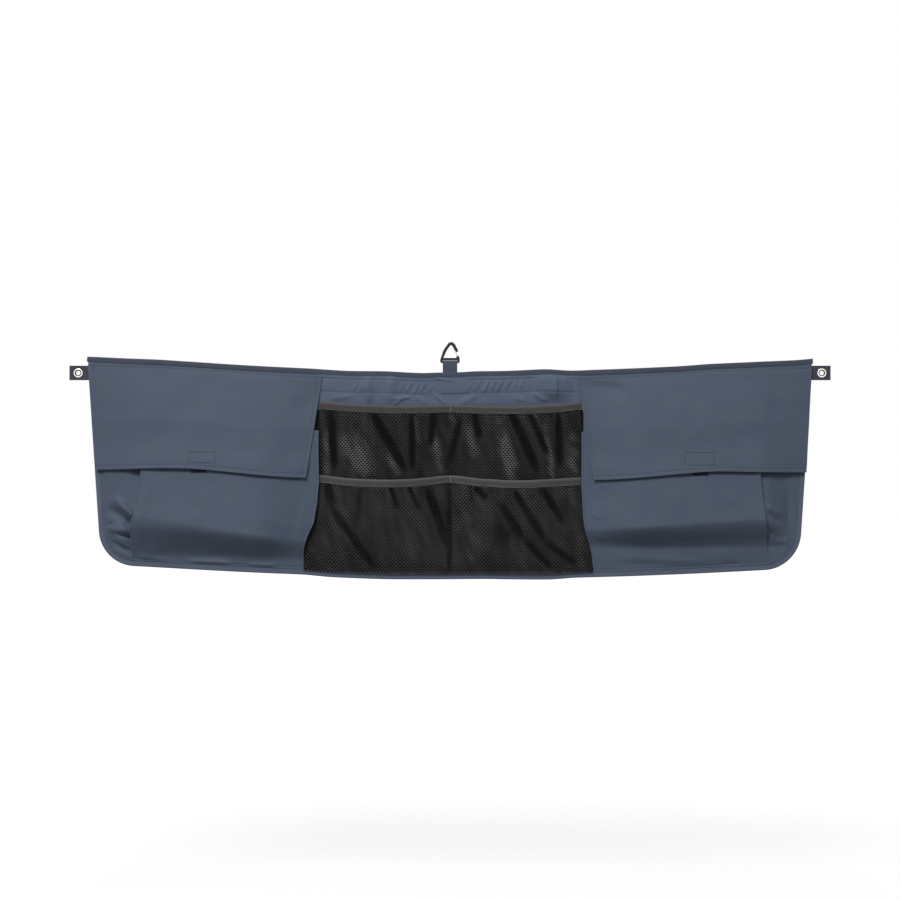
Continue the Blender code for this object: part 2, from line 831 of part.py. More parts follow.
def build_hook():
    bar = (0, STRAP_Y, BAR_LEVEL)
    black = finish("Hook enamel", "#2b2b2d", 0.45, 0.3)
    outline = rounded(
        [
            (*HOOK_NOSE, 0),
            (HOOK_APEX_OFFSET, HOOK_APEX_RISE, HOOK_APEX_BEND),
            (-HOOK_EAR, HOOK_SHOULDER_RISE, HOOK_SHOULDER_BEND),
            (-HOOK_EAR, 0, EAR_BEND),
            (HOOK_EAR, 0, EAR_BEND),
            (HOOK_EAR, HOOK_NECK_RISE, HOOK_NECK_BEND),
            (*HOOK_PIVOT, 0),
        ]
    )
    body = as_mesh(tube("hook_body", at_hook(outline), HOOK_WIRE_RADIUS, black, bar))
    reach = HOOK_EAR - HOOK_WIRE_RADIUS / 2
    ends = at_hook([(-reach, CROSSBAR_RISE), (reach, CROSSBAR_RISE)])
    crossbar = as_mesh(tube("hook_crossbar", ends, CROSSBAR_RADIUS, black, bar))
    boolean(body, "UNION", crossbar)
    knob_mesh = bpy.data.meshes.new("hook_knob")
    shape = bmesh.new()
    bmesh.ops.create_uvsphere(shape, u_segments=16, v_segments=10, radius=KNOB_RADIUS)
    shape.to_mesh(knob_mesh)
    shape.free()
    pivot = at_hook([HOOK_PIVOT])[0]
    knob = place_object("hook_knob", knob_mesh, black, pivot)
    boolean(body, "UNION", knob)
    drill = cylinder("hook_drill", GATE_WIRE_RADIUS + GAP, 0.01, pivot, 16)
    boolean(body, "DIFFERENCE", drill)


def build_gate():
    """A closed wire loop that passes through the knob and shuts behind the nose."""
    pivot = at_hook([HOOK_PIVOT])[0]
    tip = at_hook([GATE_TIP])[0]
    half = KNOB_RADIUS + GATE_WIRE_RADIUS + GAP
    length = math.dist(pivot, tip)
    loop = rounded(
        [
            (0, 0, 0),
            (half, 0, 0.0010),
            (half, length, 0.0022),
            (-half, length, 0.0022),
            (-half, 0, 0.0010),
            (0, 0, 0),
        ],
        steps=4,
    )[:-1]
    ahead = (Vector(tip) - Vector(pivot)).normalized()
    points = [Vector(pivot) + ahead * up + Vector((0, across, 0)) for across, up in loop]
    steel = nickel_finish("Gate wire")
    tube("hook_gate", points, GATE_WIRE_RADIUS, steel, pivot, closed=True)


def build():
    build_panel()
    build_bindings()
    build_webbing()
    build_eyelets()
    for name, side in SIDES:
        build_pocket(name, side)
        build_loop_patch(name, side)
        build_flap(name, side)
    upper = mouth_line(UPPER_MOUTH_SIDE, UPPER_MOUTH_MIDDLE)
    lower = mouth_line(LOWER_MOUTH_SIDE, LOWER_MOUTH_MIDDLE)
    build_mesh_pocket("upper", upper, upper_depth)
    build_mesh_pocket("lower", lower, lower_depth)
    build_bar_tack("upper_bar_tack", upper, UPPER_MESH_BASE)
    build_bar_tack("lower_bar_tack", lower, LOWER_MESH_BASE)
    build_strap()
    build_strap_anchor()
    build_hook()
    build_gate()


clear_scene()
parts = collection("Hanging organizer")
cutters = collection("Cutters")
build()
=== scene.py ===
# %% [markdown]
# # A hanging organizer with flap pockets, net pockets and a snap hook
#
# The object is a low, wide strip of slate-blue cloth. It hangs from an eyelet at each end and from
# a snap hook in the middle. Two cargo pockets under flaps stand at the sides, and four net pockets
# with elastic mouths lie between them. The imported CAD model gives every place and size, and each
# step below lays a finer, softer piece where the CAD model has a plain one.

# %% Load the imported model
import math

import bpy
import numpy as np
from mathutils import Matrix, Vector


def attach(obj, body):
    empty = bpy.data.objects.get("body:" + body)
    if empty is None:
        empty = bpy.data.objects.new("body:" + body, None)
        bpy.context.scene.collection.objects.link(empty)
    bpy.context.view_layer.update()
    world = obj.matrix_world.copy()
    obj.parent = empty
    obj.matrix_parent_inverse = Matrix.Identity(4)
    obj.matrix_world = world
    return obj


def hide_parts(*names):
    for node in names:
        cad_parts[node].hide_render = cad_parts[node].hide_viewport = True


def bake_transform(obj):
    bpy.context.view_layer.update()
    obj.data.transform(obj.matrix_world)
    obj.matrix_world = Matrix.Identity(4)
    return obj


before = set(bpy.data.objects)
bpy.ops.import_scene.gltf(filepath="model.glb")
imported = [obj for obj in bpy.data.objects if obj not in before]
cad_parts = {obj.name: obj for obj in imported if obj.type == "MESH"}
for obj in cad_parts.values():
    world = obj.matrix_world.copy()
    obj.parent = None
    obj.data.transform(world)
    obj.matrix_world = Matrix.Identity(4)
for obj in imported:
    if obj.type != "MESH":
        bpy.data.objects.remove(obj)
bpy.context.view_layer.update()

# %% [markdown]
# ## The camera
#
# The photograph looks straight at the organizer from far away, level with the middle of the frame.
# A long lens does the same. Its focal length follows from the width that the picture shows at the
# object: sensor width x distance / shown width.

# %% Camera
SHOWN_WIDTH = 1.5525
CAMERA_DISTANCE, CAMERA_LEVEL = 3.5, -0.133
camera = bpy.data.cameras.new("Camera")
camera.sensor_width = 36.0
camera.lens = camera.sensor_width * CAMERA_DISTANCE / SHOWN_WIDTH
camera_holder = bpy.data.objects.new("Camera", camera)
camera_holder.location = (0, -CAMERA_DISTANCE, CAMERA_LEVEL)
camera_holder.rotation_euler = (math.pi / 2, 0, 0)
bpy.context.scene.collection.objects.link(camera_holder)
bpy.context.scene.camera = camera_holder
print(f"lens {camera.lens:.1f} mm")

# %% [markdown]
# ## The sizes
#
# The solids were cut to these sizes, in metres. Repeating them here lets every soft piece be a
# formula of the same sizes, so that a flap still lies on its pocket when its folds are added.
# X runs along the organizer, Z is up, and the front faces -Y.

# %% Sizes of the cloth, tapes and metal
CLOTH, NET, TAPE, WEBBING, PATCH, GAP = 0.0010, 0.0008, 0.0006, 0.0012, 0.0012, 0.0003
HALF_TOP, HALF_BOTTOM = 0.622, 0.601
PANEL_HEIGHT, CORNER_RADIUS, TOP_SAG = 0.355, 0.065, 0.025
BINDING, BINDING_OVERHANG = 0.008, 0.0035
WEBBING_WIDTH, WEBBING_DROP, TAB_HEM = 0.025, 0.025, 0.045
BORE, EYELET_WALL, FLANGE_RADIUS, FLANGE, WASHER = 0.0040, 0.0006, 0.0080, 0.0010, 0.0008
POCKET_INNER, POCKET_FLARE, MOUTH_DROP, POCKET_DEPTH = 0.226, 0.028, 0.105, 0.040
ELASTIC, FLAP_ROOM = 0.012, 0.0004
TAB_REACH, EYELET_INSET = 0.035, 0.0155
ON_PANEL = CLOTH + GAP + CLOTH / 2
BINDING_REACH = CLOTH / 2 + GAP + TAPE / 2
FLAP_BASE = CLOTH + GAP + TAPE + 2 * GAP + CLOTH / 2
FLAP_STANDOFF = CLOTH + 3 * GAP + 2 * PATCH + FLAP_ROOM
UPPER_BASE = CLOTH + GAP + TAPE + GAP + NET / 2
LOWER_BASE = UPPER_BASE + NET + GAP + TAPE + GAP
STRAP_Y = 2 * GAP + 2 * WEBBING
TAB_END = HALF_TOP + TAB_REACH
EYELET_X = TAB_END - EYELET_INSET
TAB_FRONT_Y = GAP + TAPE + GAP + WEBBING / 2
TAB_BACK_Y = TAB_FRONT_Y + WEBBING + GAP
SIDES = (("left", -1), ("right", 1))

# %% [markdown]
# ## The outline of the panel
#
# The panel is a strip whose top edge sags a little between the eyelets. Its sides lean in towards
# the bottom, and the two bottom corners are round. Each edge is a small function of x or z. NumPy
# lets the same function take one number or a whole grid of them.

# %% Edges of the panel
CORNER_LEVEL = TOP_SAG * (HALF_BOTTOM / HALF_TOP) ** 2 - PANEL_HEIGHT
SEAM_INSET = BINDING + 2 * GAP


def ease(t):
    """0 below 0, 1 above 1 and a smooth step between."""
    t = np.clip(t, 0.0, 1.0)
    return t * t * (3 - 2 * t)


def between(a, b, t):
    return a + (b - a) * t


def top_edge(x):
    return TOP_SAG * (x / HALF_TOP) ** 2


def bottom_edge(x):
    return top_edge(x) - PANEL_HEIGHT


def side_edge(z):
    return between(HALF_BOTTOM, HALF_TOP, (z - CORNER_LEVEL) / (TOP_SAG - CORNER_LEVEL))


def rounded(corners, steps=9):
    """A path of points through corners, each (x, z, radius), with an arc at each inner one."""
    points = [corners[0][:2]]
    for before, corner, after in zip(corners, corners[1:], corners[2:]):
        middle = Vector(corner[:2])
        back = (Vector(before[:2]) - middle).normalized()
        ahead = (Vector(after[:2]) - middle).normalized()
        half = back.angle(ahead) / 2
        centre = middle + (back + ahead).normalized() * corner[2] / math.sin(half)
        first = middle + back * corner[2] / math.tan(half) - centre
        last = middle + ahead * corner[2] / math.tan(half) - centre
        turn = first.angle_signed(last)
        for i in range(steps + 1):
            angle = -turn * i / steps
            x = first.x * math.cos(angle) - first.y * math.sin(angle)
            z = first.x * math.sin(angle) + first.y * math.cos(angle)
            points.append((centre.x + x, centre.y + z))
    return np.array(points + [corners[-1][:2]])


# %% The right half's outline, from the top down and round to the middle
TOP_CORNER_OUT = 0.0026
foot = HALF_BOTTOM - 2 * CORNER_RADIUS
corners = [(HALF_TOP + TOP_CORNER_OUT, TOP_SAG, 0), (HALF_BOTTOM, CORNER_LEVEL, CORNER_RADIUS)]
corner_arc = rounded([*corners, (foot, float(bottom_edge(foot)), 0)], steps=26)
side_part = between(corner_arc[0], corner_arc[1], np.linspace(0, 1, 70, endpoint=False)[:, None])
foot_x = np.linspace(foot, 0, 130)
OUTLINE = np.concatenate([side_part, corner_arc[1:-1], np.stack([foot_x, bottom_edge(foot_x)], -1)])


def inset_outline(inset):
    """The outline moved inwards by inset, as (x, z) points."""
    step = np.gradient(OUTLINE, axis=0)
    step /= np.linalg.norm(step, axis=1, keepdims=True)
    return OUTLINE + inset * np.stack([step[:, 1], -step[:, 0]], -1)


def inset_edge(z, inset):
    """How far from the middle the inset outline is at height z, round the corner too."""
    line = inset_outline(inset)[::-1]
    return np.interp(z, line[:, 1], line[:, 0])


def seam_level(x, inset=SEAM_INSET):
    """The height of a seam that runs this far inside the bottom edge."""
    line = inset_outline(inset)[::-1]
    return np.interp(np.abs(x), line[:, 0], line[:, 1])


print(f"panel: {2 * HALF_TOP:.3f} m wide at the top, {len(OUTLINE)} points round its right half")

# %% [markdown]
# ## How the whole thing hangs
#
# Real cloth isn't cut or hung quite true: the photographed top edge rises a few millimetres here
# and dips there, and the strip bows a little to and fro. Both are added to every soft piece by one
# function, so neighbours move together and nothing comes apart. At the tabs and the middle strap,
# which other things are fastened to, the function gives nothing.

# %% Hang


def soft_curve(stations, heights):
    """A smooth line through (station, height) pairs, as a function."""
    at = np.linspace(-0.70, 0.70, 701)
    raw = np.interp(at, stations, heights)
    bell = np.exp(-((np.arange(-16, 17) * 0.002 / 0.013) ** 2))
    smooth = np.convolve(np.pad(raw, 16, mode="edge"), bell / bell.sum(), mode="valid")
    return lambda x: np.interp(x, at, smooth)


TOP_LIFT = soft_curve(
    [-0.65, -0.62, -0.56, -0.50, -0.43, -0.36, -0.29, -0.24, -0.18, -0.11, -0.05, -0.015, 0.015]
    + [0.04, 0.10, 0.166, 0.208, 0.25, 0.40, 0.45, 0.54, 0.60, 0.65],
    [0, 0.0024, 0.0040, 0.0060, 0.0055, 0.0044, 0.0036, 0.0030, 0.0005, 0.0013, -0.0015, 0, 0]
    + [0.0020, 0.0020, 0.0042, 0, 0.0005, 0.0006, 0.0018, 0, -0.0020, -0.0010],
)
BOTTOM_LIFT = soft_curve(
    [-0.60, -0.52, -0.38, -0.25, -0.21, -0.11, 0.06, 0.176, 0.215, 0.35, 0.49, 0.54, 0.60],
    [0.0015, 0.0038, 0.0042, 0.0040, 0.0010, -0.0008, 0, -0.0028, -0.0004, -0.0010, -0.0026]
    + [-0.0038, -0.0030],
)


def hang(x, y, z):
    """Where a point of the sewn strip hangs, with its small lift and its bow to and fro."""
    down = np.clip((top_edge(x) - z) / PANEL_HEIGHT, 0.0, 1.0)
    lift = between(TOP_LIFT(x), BOTTOM_LIFT(x), down)
    bow = 0.0026 * np.sin(11.5 * x + 0.8) + 0.0012 * np.sin(27.0 * x + 2.0)
    by_the_tabs = ease((HALF_TOP - np.abs(x)) / 0.14)
    by_the_strap = between(ease((np.abs(x) - 0.015) / 0.08), 1.0, ease(down))
    return x, y + bow * (by_the_tabs * by_the_strap) * between(0.35, 1.0, down), z + lift


# %% [markdown]
# ## Small helpers for cloth
#
# A sheet of cloth is a grid of points with a thickness. `cloth` lays the grid where a formula says,
# hangs it, and puts a second layer behind it. Its UV map is in real metres along the threads, so a
# weave drawn on it keeps its size. `ripple` is a smooth random wave from a fixed seed, and `fold` is
# one ridge between two points. These give creases as real geometry, which a bump map can't.

# %% Ripples, folds and grid lines


def ripple(seed, x, z, size):
    """Smooth random heights between about -1 and 1, with bumps of the given size (x, z)."""
    table = np.random.default_rng(seed).uniform(-1, 1, (64, 64))
    a, b = np.broadcast_arrays(x / size[0] + 17.3, z / size[1] + 31.7)
    i, j = np.floor(a).astype(int), np.floor(b).astype(int)
    s, t = ease(a - i), ease(b - j)
    low = between(table[i % 64, j % 64], table[(i + 1) % 64, j % 64], s)
    high = between(table[i % 64, (j + 1) % 64], table[(i + 1) % 64, (j + 1) % 64], s)
    return between(low, high, t)


def fold(x, z, start, end, width, height):
    """A ridge from start to end, highest at its middle; a negative height makes a hollow."""
    ahead = np.array(end) - np.array(start)
    length = np.hypot(*ahead)
    along = ((x - start[0]) * ahead[0] + (z - start[1]) * ahead[1]) / length**2
    aside = ((x - start[0]) * ahead[1] - (z - start[1]) * ahead[0]) / length
    taper = ease((along + 0.12) / 0.4) * ease((1.12 - along) / 0.4)
    return height * taper * np.exp(-((aside / width) ** 2))


def groove(distance, depth=0.0004, width=0.0011):
    """The small hollow that a row of stitches pulls into the cloth."""
    return -depth * np.exp(-((distance / width) ** 2))


def lines(length, pitch, marks=()):
    """Shares from 0 to 1 for grid lines this far apart, with extra ones at each marked distance."""
    even = np.linspace(0, length, max(int(round(length / pitch)), 2) + 1)
    extra = [m + d for m in marks for d in (-0.0022, -0.0011, 0.0, 0.0011, 0.0022)]
    kept = [e for e in even if all(abs(e - m) > 0.0030 for m in marks) or e in (0.0, length)]
    every = np.array(sorted(set(np.round(kept + extra, 6))))
    return every[(every >= 0) & (every <= length)] / length


# %% Build a piece


def piece(name, points, faces, finish, slot, uv=None):
    """A mesh object with its finish, its flat map in metres and crisp edges."""
    mesh = bpy.data.meshes.new(name)
    mesh.from_pydata(np.asarray(points).tolist(), [], [list(map(int, f)) for f in faces])
    if uv is not None:
        corner = np.empty(len(mesh.loops), np.int32)
        mesh.loops.foreach_get("vertex_index", corner)
        layer = mesh.uv_layers.new(name="Flat cloth")
        layer.data.foreach_set("uv", np.asarray(uv, np.float32)[corner].ravel())
    mesh.polygons.foreach_set("use_smooth", [True] * len(mesh.polygons))
    mesh.set_sharp_from_angle(angle=math.radians(52))
    mesh.materials.append(finish)
    made = bpy.data.objects.new(name, mesh)
    bpy.context.scene.collection.objects.link(made)
    print(f"{name}: {len(mesh.polygons)} faces")
    return made


def grid_faces(rows, columns, start=0, turned=False):
    """Four-cornered faces over a grid of points, row after row."""
    corner = np.arange(rows * columns).reshape(rows, columns) + start
    faces = np.stack([corner[:-1, :-1], corner[:-1, 1:], corner[1:, 1:], corner[1:, :-1]], -1)
    faces = faces.reshape(-1, 4)
    return faces[:, ::-1] if turned else faces


def cloth(name, across, up, place, thickness, finish, slot, hung=True):
    """A sheet with a thickness: place(u, v) gives x, y, z of its middle, and hang() hangs it."""
    u, v = np.meshgrid(across, up)
    x, y, z = np.broadcast_arrays(*place(u, v))
    middle = np.stack(hang(x, y, z) if hung else (x, y, z), axis=-1)
    along, above = np.gradient(middle, axis=1), np.gradient(middle, axis=0)
    normal = np.cross(along, above)
    normal /= np.maximum(np.linalg.norm(normal, axis=-1, keepdims=True), 1e-12)
    rows, columns = u.shape
    count = rows * columns
    front, back = middle + normal * thickness / 2, middle - normal * thickness / 2
    points = np.concatenate([front.reshape(-1, 3), back.reshape(-1, 3)])
    corner = np.arange(count).reshape(rows, columns)
    rim = np.concatenate([corner[0], corner[1:, -1], corner[-1, -2::-1], corner[-2:0:-1, 0]])
    ahead = np.roll(rim, -1)
    edge = np.stack([rim, rim + count, ahead + count, ahead], -1)
    faces = np.concatenate([grid_faces(rows, columns), grid_faces(rows, columns, count, True), edge])
    wide = np.linalg.norm(np.diff(middle, axis=1), axis=-1).mean(0)
    tall = np.linalg.norm(np.diff(middle, axis=0), axis=-1).mean(1)
    s, t = np.meshgrid(np.concatenate([[0], wide.cumsum()]), np.concatenate([[0], tall.cumsum()]))
    uv = np.stack([s.ravel(), t.ravel()], -1)
    return piece(name, points, faces, finish, slot, np.concatenate([uv, uv]))


# %% [markdown]
# ## Finishes
#
# Every finish starts from what the real material is. Colours are written as they look on a screen,
# and one function turns them to the linear values that a shader needs. One more function adds a
# node, with its settings and its links, so that each finish below reads as a short recipe.

# %% Colour and node helpers


def linear(hex_colour):
    """The linear colour, with its alpha, of a colour written as it looks on a screen."""
    values = [int(hex_colour[i : i + 2], 16) / 255 for i in (1, 3, 5)]
    return (*[v / 12.92 if v <= 0.04045 else ((v + 0.055) / 1.055) ** 2.4 for v in values], 1.0)


def new_finish(name):
    """A material and its main shader."""
    made = bpy.data.materials.new(name)
    made.use_nodes = True
    return made, made.node_tree.nodes["Principled BSDF"]


def node(finish, kind, inputs=None, **settings):
    """Adds a node with its settings and feeds its inputs."""
    made = finish.node_tree.nodes.new("ShaderNode" + kind)
    for key, value in settings.items():
        setattr(made, key, value)
    return feed(finish, made, inputs or {})


def feed(finish, made, inputs):
    """Each input is fed by a value, by an output, or by a node's first output."""
    for socket, value in inputs.items():
        if isinstance(value, bpy.types.Node):
            value = value.outputs[0]
        if isinstance(value, bpy.types.NodeSocket):
            finish.node_tree.links.new(value, made.inputs[socket])
        else:
            made.inputs[socket].default_value = value
    return made


def overlaid(finish, mask, colour):
    """The finish with another colour laid over its own, where the mask is 1."""
    shader = finish.node_tree.nodes["Principled BSDF"]
    base = shader.inputs["Base Color"].links[0].from_socket
    mixed = node(finish, "Mix", {0: mask, 6: base, 7: linear(colour)}, data_type="RGBA")
    feed(finish, shader, {"Base Color": mixed.outputs[2]})
    return finish


# %% [markdown]
# ### Coated plain-weave polyester
#
# The cloth is solution-dyed polyester in a plain weave, coated on its back. It looks matt and a
# little cool, with a faint cloudiness between bluish and purplish where the coating lies thicker.
# Its threads are 0.5 mm apart. At this camera distance that is too fine to show, so the weave is
# drawn at 2.2 mm and kept faint.

# %% Coated polyester
THREADS = 0.0022
# A wave texture of scale 1 has 20 / (2 pi) bands in a metre.
WAVE = 2 * math.pi / 20


def woven_finish(name, blue, violet, pitch, depth, roughness, sheen, threads="XY"):
    """A woven finish: clouded colour, relief of its threads across X, Y or both, and a soft sheen."""
    finish, shader = new_finish(name)
    place = node(finish, "TexCoord").outputs["UV"]
    cloud = node(finish, "TexNoise", {"Vector": place, "Scale": 24.0, "Detail": 3.0})
    grain = node(finish, "TexNoise", {"Vector": place, "Scale": 420.0, "Detail": 2.0})
    bands = {"Vector": place, "Scale": WAVE / pitch}
    waves = [node(finish, "TexWave", bands, bands_direction=axis).outputs["Fac"] for axis in threads]
    relief = waves[0]
    if len(waves) == 2:
        relief = node(finish, "Math", {0: waves[0], 1: waves[1]}, operation="MULTIPLY")
    tone = node(finish, "MapRange", {"Value": cloud, "From Min": 0.35, "From Max": 0.65})
    colours = {0: tone, 6: linear(blue), 7: linear(violet)}
    colour = node(finish, "Mix", colours, data_type="RGBA").outputs[2]
    worn = node(finish, "MapRange", {"Value": grain, "To Min": 0.90, "To Max": 1.10})
    shade = node(finish, "MapRange", {"Value": relief, "To Min": 0.93, "To Max": 1.05})
    both = node(finish, "Math", {0: worn, 1: shade}, operation="MULTIPLY")
    tinted = node(finish, "VectorMath", {0: colour, "Scale": both}, operation="SCALE")
    bump = node(finish, "Bump", {"Height": relief, "Strength": 0.5, "Distance": depth})
    patchy = {"Value": cloud, "To Min": roughness - 0.05, "To Max": roughness + 0.05}
    rough = node(finish, "MapRange", patchy)
    feed(finish, shader, {"Base Color": tinted, "Normal": bump, "Roughness": rough})
    feed(finish, shader, {"Specular IOR Level": 0.22, "Sheen Weight": sheen, "Sheen Roughness": 0.5})
    return finish


CLOTH_LOOK = ("#505c6e", "#555f70", THREADS, 0.00012, 0.66, 0.04)
polyester = woven_finish("Coated plain-weave polyester", *CLOTH_LOOK)

# %% [markdown]
# Through the holes of the nets the pockets look nearly black, because they lie in deep shade, so that
# shade is painted near-black onto the panel's blue cloth behind them. The painted shade lies between two
# levels and flares downwards as the nets do. It shows only where the surface faces forwards, because the
# back of the panel stays blue.

# %% Polyester with shade painted behind the nets
NETS_FROM, NETS_TO = (0.2312, -0.064), (0.2545, -0.343)
FLARE_FROM, FLARE_TO = -0.225, -0.300
NETS_LEFT_BY = 0.0010


def panel_finish_with_painted_shade(name, dark, top, bottom):
    """The panel's cloth, with painted shade on its front between two levels, each a (half width, z)."""
    # This cloth is drawn lighter than the same cloth elsewhere: it makes up for its weaker specular, and
    # it is painted light that lets the band between the flaps, which faces straight forwards, look as
    # light as the flaps.
    finish = woven_finish(name, "#5d6b7f", "#636e81", *CLOTH_LOOK[2:])
    feed(finish, finish.node_tree.nodes["Principled BSDF"], {"Specular IOR Level": 0.10})
    place = node(finish, "TexCoord").outputs
    split = node(finish, "SeparateXYZ", {0: place["Object"]}).outputs
    facing = node(finish, "SeparateXYZ", {0: place["Normal"]}).outputs["Y"]
    centred = node(finish, "Math", {0: split["X"], 1: NETS_LEFT_BY}, operation="ADD")
    aside = node(finish, "Math", {0: centred}, operation="ABSOLUTE")
    flare = {0: split["Z"], 1: FLARE_FROM, 2: FLARE_TO, 3: top[0], 4: bottom[0]}
    width = node(finish, "MapRange", flare)
    in_painted_shade = node(finish, "Math", {0: facing, 1: 0.0}, operation="LESS_THAN")
    tests = [(aside, width, "LESS_THAN"), (split["Z"], top[1], "LESS_THAN")]
    tests.append((split["Z"], bottom[1], "GREATER_THAN"))
    for value, limit, test in tests:
        passed = node(finish, "Math", {0: value, 1: limit}, operation=test)
        in_painted_shade = node(finish, "Math", {0: in_painted_shade, 1: passed}, operation="MULTIPLY")
    # Painted shade: the near-black colour is laid over the cloth's front where the mask is 1.
    return overlaid(finish, in_painted_shade, dark)


# The panel's cloth, with shade painted near-black behind the nets.
panel_polyester_with_painted_shade = panel_finish_with_painted_shade("Coated polyester, painted shade behind the nets", "#0b0b0d", NETS_FROM, NETS_TO)

# %% [markdown]
# ### Tapes, webbing, elastic and net yarn
#
# Grosgrain binding tape has ribs across its length, 1 mm apart and drawn at 2 mm. Polypropylene
# webbing is thicker and ribbed along its length. The knitted elastic is brownish black with paler
# edges, where its yarn turns back. The net is knitted from black polyester yarn.

# %% Tapes and threads
TAPE_LOOK = (0.0020, 0.00015, 0.60, 0.04, "X")
THREAD_LOOK = (0.0012, 0.00010, 0.60, 0.03, "X")
binding_tape = woven_finish("Grosgrain binding tape", "#424a59", "#494e5c", *TAPE_LOOK)
# The side and bottom tape is the same tape as the top one, drawn lighter as painted light where the
# pockets above shade it.
edge_tape_painted_light = woven_finish("Grosgrain binding tape, painted lighter", "#5a6478", "#5f687a", *TAPE_LOOK)
polypropylene = woven_finish("Polypropylene webbing", "#3d3e49", "#434350", 0.0028, 0.00030, 0.55, 0.05)
strap_webbing = woven_finish("Strap webbing", "#4d5666", "#505867", 0.0028, 0.00030, 0.58, 0.05)
thread = woven_finish("Spun polyester thread", "#465060", "#4b5160", 0.0012, 0.00010, 0.55, 0.05, "X")
black_thread = woven_finish("Black polyester thread", "#1d1d20", "#232326", *THREAD_LOOK)
pale_thread = woven_finish("Pale bar-tack thread", "#8c8984", "#98958f", *THREAD_LOOK)
hook_tape = woven_finish("Hook tape", "#1d2228", "#242a31", 0.0024, 0.00050, 0.75, 0.03)
loop_tape = woven_finish("Loop tape", "#20262e", "#2a3038", 0.0030, 0.00060, 0.95, 0.10)

# %% Net yarn and elastic


def net_finish(name, painted_shade, painted_light):
    """Net yarn, with painted shade in its folds and painted light where it lies open, from its second UV
    map.
    """
    finish, shader = new_finish(name)
    place = node(finish, "UVMap", uv_map="Spread")
    split = node(finish, "SeparateXYZ", {0: place})
    tones = {0: split.outputs["X"], 6: linear(painted_shade), 7: linear(painted_light)}
    colour = node(finish, "Mix", tones, data_type="RGBA").outputs[2]
    feed(finish, shader, {"Base Color": colour, "Roughness": 0.60, "Specular IOR Level": 0.10})
    return finish


# The yarn is near black where shade is painted on it and mid grey where light is painted on it.
net_yarn = net_finish("Knitted net yarn", "#0c0b0c", "#918e90")


def elastic_finish(name, edge, middle):
    """Knitted elastic: a dark band between two paler selvedges, about 2 mm wide each."""
    finish = woven_finish(name, middle, middle, 0.0019, 0.00020, 0.75, 0.05, "X")
    place = node(finish, "TexCoord").outputs["UV"]
    split = node(finish, "SeparateXYZ", {0: place})
    ramp = node(finish, "ValToRGB", {0: split.outputs["Y"]})
    stops = ramp.color_ramp.elements
    stops[0].color = (1, 1, 1, 1)
    for at, value in ((0.0018, 1.0), (0.0030, 0.0), (0.0095, 0.0), (0.0107, 1.0)):
        stops.new(at).color = (value, value, value, 1)
    return overlaid(finish, ramp, edge)


upper_elastic = elastic_finish("Knitted elastic, upper", "#5d5959", "#454245")
lower_elastic = elastic_finish("Knitted elastic, lower", "#5f5e60", "#474649")

# %% [markdown]
# ### Metals
#
# The eyelets are brass, pressed and plated with nickel, which looks a little warm and is polished
# but softly scratched. The snap hook is bent steel wire under black stoving enamel, and its gate is
# bare spring steel wire.

# %% Metals and enamel


def hard_finish(name, colour, scale, detail, tones, relief):
    """A hard skin whose colour and height follow one fine noise; gives the noise as well."""
    finish, shader = new_finish(name)
    place = node(finish, "TexCoord").outputs["Object"]
    haze = node(finish, "TexNoise", {"Vector": place, "Scale": scale, "Detail": detail})
    tone = node(finish, "MapRange", {"Value": haze, "To Min": tones[0], "To Max": tones[1]})
    tinted = node(finish, "VectorMath", {0: linear(colour)[:3], "Scale": tone}, operation="SCALE")
    bump = node(finish, "Bump", {"Height": haze, "Distance": relief})
    feed(finish, shader, {"Base Color": tinted, "Normal": bump})
    return finish, shader, haze


def metal_finish(name, colour, roughness):
    """Polished metal with fine scratches, rougher where they are closer."""
    finish, shader, scratches = hard_finish(name, colour, 900.0, 4.0, (0.9, 1.05), 0.00002)
    uneven = {"Value": scratches, "To Min": roughness - 0.06, "To Max": roughness + 0.10}
    feed(finish, shader, {"Metallic": 1.0, "Roughness": node(finish, "MapRange", uneven)})
    return finish


def enamel_finish(name, colour):
    """Sprayed enamel with the slight waviness of its dried drops."""
    finish, shader, _ = hard_finish(name, colour, 700.0, 2.0, (0.8, 1.2), 0.00004)
    feed(finish, shader, {"Roughness": 0.55, "Specular IOR Level": 0.14})
    return finish


def with_painted_shade_and_reflection(finish, colour, bright_from, bright_to):
    """Painted shade in the bore and a painted dark reflection round the rim; the flange stays bright
    between these two lengths.
    """
    place = node(finish, "TexCoord").outputs["UV"]
    along = node(finish, "SeparateXYZ", {0: place}).outputs["Y"]
    starts = {"Value": along, "From Min": bright_from - 0.0003, "From Max": bright_from}
    ends = {"Value": along, "From Min": bright_to + 0.0003, "From Max": bright_to}
    started, ended = (node(finish, "MapRange", given) for given in (starts, ends))
    bright = node(finish, "Math", {0: started, 1: ended}, operation="MULTIPLY")
    painted_dark = node(finish, "Math", {0: 1.0, 1: bright}, operation="SUBTRACT")
    return overlaid(finish, painted_dark, colour)


nickel = metal_finish("Nickel-plated brass", "#d3d1cc", 0.22)
eyelet_nickel = metal_finish("Nickel-plated brass, with painted shade", "#faf8f3", 0.18)
# The eyelet's dark bore and rim are painted shade and a painted dark reflection.
eyelet_nickel = with_painted_shade_and_reflection(eyelet_nickel, "#35312e", 0.0018, 0.0034)
spring_wire = metal_finish("Spring steel wire", "#c6c5c2", 0.26)
enamel = enamel_finish("Black stoving enamel", "#333135")

# %% [markdown]
# ## The panel
#
# The panel is one sheet. Below its top edge two rows of stitches hold the hanging webbing at the
# back. The cloth between the rows puckers into short slanting folds, because it is a little longer
# than the webbing. A pleat stands at the right, next to the flap. All of these are ridges and
# hollows of the grid itself, whose lines are close together where the puckers are.

# %% Puckers of the centre band
HEM_LINES = (0.0138, 0.0366)
